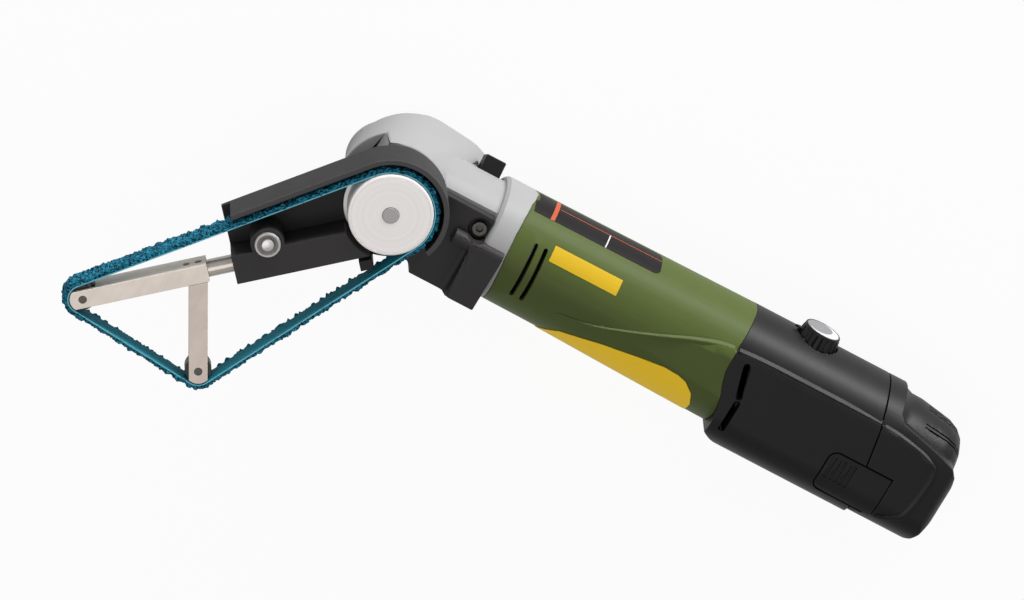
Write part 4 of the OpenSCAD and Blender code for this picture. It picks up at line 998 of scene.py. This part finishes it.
class PIPESANDER_OT_head(bpy.types.Operator):
    """Gear housing, carrier, guard, rod block, arm latch and pulley"""

    bl_idname = "pipe_sander.head"
    bl_label = "Head"

    def execute(self, context):
        softened("gear_housing", segments=3)
        softened("gear_cap")
        softened("head_carrier", first=(self.saddle_step, SADDLE_ROUND))
        softened("clamp_screw", finish="screw_dark")
        softened("belt_guard")
        softened("rod_block", finish="block_grey")
        self.ring()
        self.pin()
        softened("lock_button")
        self.pulley()
        softened("drive_spindle", finish="spindle_end")
        return {"FINISHED"}

    def saddle_step(self, first, last):
        """True for the two edges along the step between the carrier's plate and its saddle."""
        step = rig.box("head_carrier")[1].x - SADDLE_STEP
        levels = {round(v.z / MM, 1) for v in (first, last)}
        return all(abs(v.x - step) < SADDLE_TOLERANCE for v in (first, last)) and len(levels) == 1

    def ring(self):
        """Bushing of the arm latch with its dished mouth."""
        low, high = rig.box("latch_ring")
        reach, bore = half_width("latch_ring"), half_width("latch_pin") + RING_AIR
        mouth = face_points(RING_MOUTH, reach, high.z)
        profile = [(bore, low.z), (bore, high.z - RING_DISH), *mouth, (reach, low.z)]
        turned_piece("latch_bushing", "latch_ring", profile, centre("latch_ring"), 72, finish="bushing_steel")

    def pin(self):
        """Pin of the arm latch, which keeps a little air over the floor of its bore when it is pressed."""
        low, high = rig.box("latch_pin")
        reach, foot, top = half_width("latch_pin"), low.z + PIN_AIR, high.z
        corner = PIN_EDGE_SHARE * PIN_EDGE
        profile = [
            (0, foot), (reach - PIN_EDGE, foot), (reach, foot + PIN_EDGE), (reach, top - PIN_EDGE),
            (reach - corner, top - corner), (reach - PIN_EDGE, top), (0, top)]
        turned_piece("latch_button", "latch_pin", profile, centre("latch_pin"), 64)

    def pulley(self):
        """Drive pulley with its rear flange and a fine ring near the rim."""
        low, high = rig.box("drive_pulley")
        reach, flange = settings().belt.pulley_radius, half_width("drive_pulley")
        bore = half_width("drive_spindle") + PULLEY_AIR
        face = face_points(PULLEY_RIM + PULLEY_GROOVE, reach, high.z)
        profile = [
            (bore, low.z), (flange, low.z), (flange, low.z + PULLEY_FLANGE), (reach, low.z + PULLEY_ROOT),
            *face, (bore + PULLEY_BORE_EDGE, high.z), (bore, high.z - PULLEY_BORE_EDGE)]
        turned_piece("turned_pulley", "drive_pulley", profile, centre("drive_spindle"), 160)


class PIPESANDER_OT_arm(bpy.types.Operator):
    """Arm, rollers, axles and tension spring"""

    bl_idname = "pipe_sander.arm"
    bl_label = "Arm"

    def execute(self, context):
        for node in ("arm_bar", "tip_roller", "strut_roller"):
            softened(node)
        softened("arm_strut", finish="strut_alloy")
        softened("tension_rod", finish="rod_steel")
        for node in ("tip_axle", "strut_axle", "set_screws"):
            softened(node, finish="screw_dark")
        self.spring()
        return {"FINISHED"}

    def spring(self):
        """Tension spring, pressed together as the arm slides in."""
        low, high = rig.box("tension_spring")
        ends = sorted((corner.xy - SPINDLE.xy).dot(ARM.xy) for corner in (low, high))
        bend = ("tension_arm", on_arm(ends[0], low.z), on_arm(ends[1], low.z))
        piece("spring_coil", copied("tension_spring"), BODY_OF["tension_spring"], SLOT_OF["tension_spring"],
              ("tension_spring",), bend=bend)


# Fewest faces round a wheel, and faces over which the belt comes free of one
WHEEL_FACES = 4
RUN_IN_FACES = 8
# Stretch from the spindle along the arm over which the belt bends
BEND_START = 25 * MM
BEND_END = 75 * MM
# How far the backing stays behind the belt's near and far edges, and where the fleece starts in it
BACKING_NEAR = 0.15 * MM
BACKING_FAR = 1.1 * MM
FLEECE_START_SHARE = 0.6
# Lumps of the fleece's face and tufts of its edges
LUMP = 1.9 * MM
LUMP_DETAIL = 3
LUMP_SHARE = 0.75
FLUFF = 0.8 * MM
FLUFF_SHARE = 0.45
FACE_LEVEL = 0.62
TUFT = 1.5 * MM
TUFT_SHIFT = Vector((7, 3, 5))
TUFT_SHARE = 0.7
STRAND = 0.7 * MM
STRAND_SHARE = 0.5
EDGE_LEVEL = 0.35
EDGE_POWER = 5
EDGE_INNER_SHARE = 0.75
# Tufts that curl inwards at the far edge, over a tenth of the width
CURL_RATE = 10
CURL_LEVEL = 0.25
CURL_SHARE = 0.8
BELT_SHARP = 60


def belt_route(radii, step):
    """Points, outward directions and freedom from the wheels, along the belt round pulley and rollers."""
    wheels = [Vector((p.x, p.y)) for p in (SPINDLE, TIP, STRUT)]
    angles = []
    for i in range(3):
        reach = wheels[(i + 1) % 3] - wheels[i]
        lean = math.acos((radii[i] - radii[(i + 1) % 3]) / reach.length)
        angles.append(math.atan2(reach.y, reach.x) - lean)
    route = []
    for i in range(3):
        start, sweep = angles[i - 1], (angles[i] - angles[i - 1]) % (2 * math.pi)
        turns = max(WHEEL_FACES, round(sweep * radii[i] / step))
        for k in range(turns + 1):
            angle = start + sweep * k / turns
            out = Vector((math.cos(angle), math.sin(angle)))
            route.append((wheels[i] + out * radii[i], out, 0.0))
        here, out, _ = route[-1]
        there = wheels[(i + 1) % 3] + out * radii[(i + 1) % 3]
        runs = round((there - here).length / step)
        for k in range(1, runs):
            free = min(1.0, k / RUN_IN_FACES, (runs - k) / RUN_IN_FACES)
            route.append((here.lerp(there, k / runs), out, free))
    return route


class PIPESANDER_OT_belt(bpy.types.Operator):
    """Fleece belt on its cloth backing"""

    bl_idname = "pipe_sander.belt"
    bl_label = "Belt"

    def execute(self, context):
        sizes = settings().belt
        radii = [sizes.pulley_radius + sizes.lift] + 2 * [sizes.roller_radius + sizes.lift]
        self.route = belt_route(radii, sizes.step)
        self.layer(
            "belt_backing", inner=0, outer=sizes.backing, thick=2, wide=8, ragged=0, replaces=(),
            low=BELT_LOW + BACKING_FAR, high=BELT_HIGH - BACKING_NEAR)
        self.layer(
            "belt_fleece", inner=FLEECE_START_SHARE * sizes.backing, outer=sizes.thickness, thick=6, wide=24,
            ragged=sizes.ragged, replaces=("abrasive_belt",), low=BELT_LOW, high=BELT_HIGH)
        return {"FINISHED"}

    def layer(self, name, inner, outer, thick, wide, ragged, replaces, low, high):
        """A closed band from the inner to the outer lift and from the low to the high edge.

        thick and wide count the faces of its section, and ragged is the depth of its tufts."""
        around = 2 * (thick + wide)

        def section(v):
            """Point of the belt's section, as shares of its thickness and width."""
            k = round(v * around) % around
            if k < wide:
                return 1.0, k / wide
            if k < wide + thick:
                return 1 - (k - wide) / thick, 1.0
            if k < 2 * wide + thick:
                return 0.0, 1 - (k - wide - thick) / wide
            return (k - 2 * wide - thick) / thick, 0.0

        def place(u, v):
            point, out, free = self.route[round(u * len(self.route)) % len(self.route)]
            share, side = section(v)
            lift = inner + (outer - inner) * share
            spot = Vector((*(point + out * lift), low + (high - low) * side))
            if ragged:
                outward = Vector((*out, 0))
                lump = noise.turbulence(spot / LUMP, LUMP_DETAIL, False)
                fluff = noise.noise(spot / FLUFF)
                sunk = min(0.0, LUMP_SHARE * lump + FLUFF_SHARE * fluff - FACE_LEVEL)
                spot += outward * ragged * share * sunk
                edge = (2 * side - 1) ** EDGE_POWER
                tuft = noise.noise(spot / TUFT + TUFT_SHIFT) + STRAND_SHARE * noise.noise(spot / STRAND)
                notch = min(0.0, TUFT_SHARE * tuft - EDGE_LEVEL)
                spot.z += edge * ragged * notch * (EDGE_INNER_SHARE + (1 - EDGE_INNER_SHARE) * share)
                curl = free * max(0.0, 1 - CURL_RATE * side) * (1 - share) * max(0.0, tuft + CURL_LEVEL)
                spot -= outward * ragged * CURL_SHARE * curl
            return spot

        bm = grid(len(self.route), around, place, closed=True)
        bend = ("tension_arm", on_arm(BEND_START, BELT_LOW), on_arm(BEND_END, BELT_LOW))
        piece(name, bm, "swing_head", "belt_fleece", replaces, sharp=BELT_SHARP, finish=name, bend=bend)


class PIPESANDER_OT_handle(bpy.types.Operator):
    """Green shells, grip pad and shell screws"""

    bl_idname = "pipe_sander.handle"
    bl_label = "Handle"

    def execute(self, context):
        softened("handle_shell_near", skip=front_sharp, sharp=24)
        softened("handle_shell_far", skip=front_sharp, sharp=24)
        softened("grip_pad")
        softened("handle_screws")
        return {"FINISHED"}


KNOB_RIBS = 20
KNOB_RIB_FACES = 12
KNOB_RIB = 0.6 * MM
KNOB_FOOT_RIB_SHARE = 0.3
KNOB_TAPER_SHARE = 0.7
KNOB_CONE = 5.9 * MM
KNOB_EDGE = 0.3 * MM
KNOB_STEM_SHARE = 0.3
KNOB_RIM_SHARE = 0.86
KNOB_RIM_WALL = 0.5 * MM
KNOB_DISC_AIR = 0.03 * MM
KNOB_RIM_FLARE = 0.1 * MM
KNOB_RIM_ROUND = 0.2 * MM
# Ways down from the knob's face to the edge of its rim, the foot of its rim and the end of its ribs
KNOB_RIM_DROP = 0.25 * MM
KNOB_RIM_FOOT = 1.0 * MM
KNOB_RIB_END = 1.5 * MM


class PIPESANDER_OT_rear(bpy.types.Operator):
    """Black rear shells, their screws and the speed dial"""

    bl_idname = "pipe_sander.rear"
    bl_label = "Rear shells"

    def execute(self, context):
        softened("rear_shell_near", segments=3, angle=12, skip=rear_sharp)
        softened("rear_shell_far", segments=3, angle=12, skip=rear_sharp)
        softened("rear_screws")
        self.knob()
        softened("dial_disc")
        return {"FINISHED"}

    def knob(self):
        """Speed dial: a ribbed cone under a smooth rim, hollow for its disc."""
        low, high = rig.box("dial_knob")
        seat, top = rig.box("dial_disc")[0].y, high.y
        middle = centre("dial_disc")
        disc, reach = half_width("dial_disc") + KNOB_DISC_AIR, half_width("dial_knob")
        rim = max(disc + KNOB_RIM_WALL, KNOB_RIM_SHARE * reach)
        neck = reach + KNOB_TAPER_SHARE * (rim - reach)
        base, stem = top - KNOB_CONE, KNOB_STEM_SHARE * reach
        # Radius, height and share of the rib's depth
        rows = [
            (0, low.y, 0), (stem, low.y, 0), (stem, base, 0),
            (reach - KNOB_EDGE, base, KNOB_FOOT_RIB_SHARE), (reach, base + KNOB_EDGE, 1),
            (neck, top - KNOB_RIB_END, 1), (rim + KNOB_RIM_FLARE, top - KNOB_RIM_FOOT, 0),
            (rim, top - KNOB_RIM_DROP, 0), (rim - KNOB_RIM_ROUND, top, 0),
            (disc, top, 0), (disc, seat, 0), (0, seat, 0)]

        def place(u, v):
            radius, height, rib = rows[round(v * (len(rows) - 1))]
            angle = 2 * math.pi * u
            radius -= rib * KNOB_RIB * max(0.0, math.cos(KNOB_RIBS * angle)) ** 2
            return Vector((middle.x + radius * math.cos(angle), height, middle.z + radius * math.sin(angle)))

        bm = grid(KNOB_RIB_FACES * KNOB_RIBS, len(rows) - 1, place, closed=True)
        piece("ribbed_knob", bm, BODY_OF["dial_knob"], SLOT_OF["dial_knob"], ("dial_knob",))


# Paths of the lips: x in mm, and degrees from the near side to the top
CREASE = ((77, -22), (91, -15), (106, -1), (125, 18), (136, 26), (141.6, 27.7))
SLEEVE_CREASE = ((143.4, 27.4), (151, 29), (162, 29.7), (204.6, 29.5))
PANEL_RIDGE = (
    (206.1, 27.8), (211, 27.5), (224, 22.3), (230.4, 16), (231.6, 2), (231, -20), (229.6, -35),
    (225, -42.3), (220, -46))
# Name, solids that carry it, path, height, shares of the height at the ends, and share that it grows over
RIDGES = (
    ("handle_crease", ("handle_shell_near", "handle_shell_far"), CREASE, 0.75 * MM, (0.4, 1.0), 0.5),
    ("sleeve_crease", ("rear_shell_near", "rear_shell_far"), SLEEVE_CREASE, 0.75 * MM, (1.0, 1.0), 1),
    ("panel_ridge", ("battery_case",), PANEL_RIDGE, 0.65 * MM, (1.0, 0.2), 1))


class PIPESANDER_OT_ridges(bpy.types.Operator):
    """Lips along the creases of handle, sleeve and battery"""

    bl_idname = "pipe_sander.ridges"
    bl_label = "Ridges"

    def execute(self, context):
        for name, nodes, path, height, ends, fade in RIDGES:
            lip(name, skin_of(*nodes), path, height, ends, fade, BODY_OF[nodes[0]], SLOT_OF[nodes[0]])
        return {"FINISHED"}


# Label: search step and gap at its front, rest beyond its corner arcs, and sizes of its marks
LABEL_SEARCH = 0.1 * MM
LABEL_GAP = 1.2 * MM
LABEL_TIP = 0.02 * MM
STRIPE_SLANT = 1.9 * MM
LINE_GAP = 1.6 * MM
LINE_END_GAP = 0.3 * MM
LINE_WIDTH = math.radians(0.9)
DIVIDER_WIDTH = 0.5 * MM
DIVIDER_SLANT = 1.05 * MM
MARK_LIFT_SHARE = 1.4
# Dial: rays come from above it
DIAL_RAY_Y = 40 * MM
DIAL_FILM = 0.1 * MM
CRESCENT_SINK = 0.06 * MM
CRESCENT_MIDDLE = math.radians(35)
CRESCENT_SWEEP = math.radians(230)
CRESCENT_OUTER_SHARE = 0.95
CRESCENT_INNER_SHARE = 0.90
CRESCENT_BULGE_SHARE = 0.42
CRESCENT_POWER = 1.5
# Grey spots round the knob's foot, painted glints: their angles in degrees, radius and gap
GLINT_DEGREES = (38, 62, 86, 110, 134)
GLINT_RADIUS = 0.24 * MM
GLINT_GAP = 0.25 * MM
POINTER_LENGTH = 2.0 * MM
POINTER_WIDTH = 2.4 * MM
POINTER_RISE = 1.2 * MM
POINTER_THICK = 0.8 * MM


class PIPESANDER_OT_prints(bpy.types.Operator):
    """Bare label and badge, and marks at the dial"""

    bl_idname = "pipe_sander.prints"
    bl_label = "Label, badge and marks"

    def execute(self, context):
        self.sizes = settings().prints
        self.shell = skin_of("handle_shell_near", "handle_shell_far")
        self.label()
        self.badge()
        self.dial_marks()
        return {"FINISHED"}

    def label(self):
        """Dark film over the top of the handle, with a line, a divider and a cross stripe on it."""
        sizes = self.sizes
        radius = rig.box("handle_shell_near")[1].y
        start = HANDLE_START
        while not all(self.shell.ray_cast(*to_handle(start, angle))[0] for angle in (
                sizes.label_low, (sizes.label_low + sizes.label_high) / 2, sizes.label_high)):
            start += LABEL_SEARCH
        start += LABEL_GAP

        def corner(x):
            reach = max(0.0, x - sizes.label_end + sizes.label_round)
            return (sizes.label_round - math.sqrt(sizes.label_round ** 2 - reach ** 2)) / radius

        def film(u, v):
            x = start + (sizes.label_end - start) * (1 - (1 - u) ** 2)
            cut = corner(min(x, sizes.label_end - LABEL_TIP))
            return to_handle(x, sizes.label_low + cut + (sizes.label_high - sizes.label_low - 2 * cut) * v)

        def stripe(u, v):
            x = sizes.stripe_start + sizes.stripe_width * u + STRIPE_SLANT * v
            return to_handle(x, sizes.label_low + (sizes.label_high - sizes.label_low) * v)

        def line(u, v):
            x = sizes.stripe_start + sizes.stripe_width + LINE_GAP
            return to_handle(x + (sizes.label_end - LINE_END_GAP - x) * u, sizes.line_turn + LINE_WIDTH * v)

        def divider(u, v):
            x = sizes.divider_start + DIVIDER_WIDTH * u + DIVIDER_SLANT * v
            return to_handle(x, sizes.label_low + (sizes.line_turn - sizes.label_low) * v)

        laid("label", self.shell, film, 60, 24, sizes.film, "handle", "black_plastic", "label_film")
        for name, ray, across, along, finish in (
                ("label_line", line, 40, 2, "stripe_film"),
                ("label_divider", divider, 2, 16, "mark_white"),
                ("label_stripe", stripe, 4, 24, "stripe_film")):
            laid(name, self.shell, ray, across, along, sizes.film, "handle", "black_plastic", finish,
                 MARK_LIFT_SHARE * sizes.film)

    def badge(self):
        """Yellow film on the near side."""
        sizes = self.sizes

        def film(u, v):
            x = sizes.badge_start + (sizes.badge_end - sizes.badge_start) * u
            return to_handle(x, sizes.badge_low + (sizes.badge_high - sizes.badge_low) * v)

        laid("badge", self.shell, film, 30, 12, sizes.film, "handle", "yellow_rubber", "badge_film")

    def dial_marks(self):
        """White crescent on the disc and a pointer on the shell, with grey spots on the shell that are painted glints
        at the knob's foot.
        """
        disc = centre("dial_disc")
        reach = half_width("dial_disc")

        def above(radius, angle):
            return Vector((disc.x + radius * math.cos(angle), DIAL_RAY_Y, disc.z + radius * math.sin(angle)))

        def crescent(u, v):
            angle = CRESCENT_MIDDLE + CRESCENT_SWEEP * (u - 0.5)
            bulge = CRESCENT_BULGE_SHARE * math.cos(math.pi * (u - 0.5)) ** CRESCENT_POWER
            inner = reach * (CRESCENT_INNER_SHARE - bulge)
            return above(inner + (CRESCENT_OUTER_SHARE * reach - inner) * v, angle), DIAL_DOWN

        laid("dial_crescent", skin_of("dial_disc"), crescent, 40, 6, DIAL_FILM, "speed_dial", "disc_grey",
             "mark_white", -CRESCENT_SINK)
        sleeve = skin_of("rear_shell_near", "rear_shell_far")
        ring = half_width("dial_knob") + GLINT_GAP
        # Grey spots on the shell stand in for glints at the knob's foot, as painted highlights
        for k, degrees in enumerate(GLINT_DEGREES):
            spot = above(ring, math.radians(degrees))

            def dot(u, v, spot=spot):
                away, angle = GLINT_RADIUS * v, 2 * math.pi * u
                return spot + Vector((away * math.cos(angle), 0, away * math.sin(angle))), DIAL_DOWN

            laid(f"dial_dot_{k}", sleeve, dot, 12, 2, DIAL_FILM, "handle", "disc_grey", "disc_grey")

        def pointer(u, v):
            x = disc.x - ring - POINTER_LENGTH + POINTER_LENGTH * u
            z = disc.z + POINTER_RISE + POINTER_WIDTH * (v - 0.5) * u
            return Vector((x, DIAL_RAY_Y, z)), DIAL_DOWN

        laid("dial_pointer", sleeve, pointer, 4, 4, POINTER_THICK, "handle", "black_plastic", "black_plastic")


class PIPESANDER_OT_battery(bpy.types.Operator):
    """Battery and its latch pads"""

    bl_idname = "pipe_sander.battery"
    bl_label = "Battery"

    def execute(self, context):
        softened("battery_case", segments=3, angle=16, room=3, flat=0.05)
        softened("battery_lid")
        softened("battery_latch_near", segments=3)
        softened("battery_latch_far", segments=3)
        return {"FINISHED"}


class PipeSanderSettings(bpy.types.PropertyGroup):
    """All settings of the sander."""

    view: PointerProperty(type=ViewSizes)
    prints: PointerProperty(type=PrintSizes)
    colours: PointerProperty(type=Colours)
    belt: PointerProperty(type=BeltSizes)


OPERATORS = (
    PIPESANDER_OT_stage, PIPESANDER_OT_inner, PIPESANDER_OT_head, PIPESANDER_OT_arm, PIPESANDER_OT_belt,
    PIPESANDER_OT_handle, PIPESANDER_OT_rear, PIPESANDER_OT_battery, PIPESANDER_OT_ridges,
    PIPESANDER_OT_prints)


class PIPESANDER_PT_panel(bpy.types.Panel):
    """Sidebar panel that lists the pieces"""

    bl_idname = "PIPESANDER_PT_panel"
    bl_label = "Pipe Sander"
    bl_space_type = "VIEW_3D"
    bl_region_type = "UI"
    bl_category = "Pipe Sander"

    def draw(self, context):
        for operator in OPERATORS:
            self.layout.operator(operator.bl_idname)


CLASSES = (ViewSizes, PrintSizes, Colours, BeltSizes, PipeSanderSettings, *OPERATORS, PIPESANDER_PT_panel)


def register():
    for cls in CLASSES:
        bpy.utils.register_class(cls)
    bpy.types.Scene.pipe_sander = PointerProperty(type=PipeSanderSettings)


def unregister():
    del bpy.types.Scene.pipe_sander
    for cls in reversed(CLASSES):
        bpy.utils.unregister_class(cls)


def main():
    register()
    for operator in OPERATORS:
        group, name = operator.bl_idname.split(".")
        getattr(getattr(bpy.ops, group), name)()
    with open("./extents.json", "w") as file:
        json.dump({"cad": [list(c) for c in CAD_BOX], "visual": [list(c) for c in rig.bounds()]}, file)


if __name__ == "__main__":
    main()
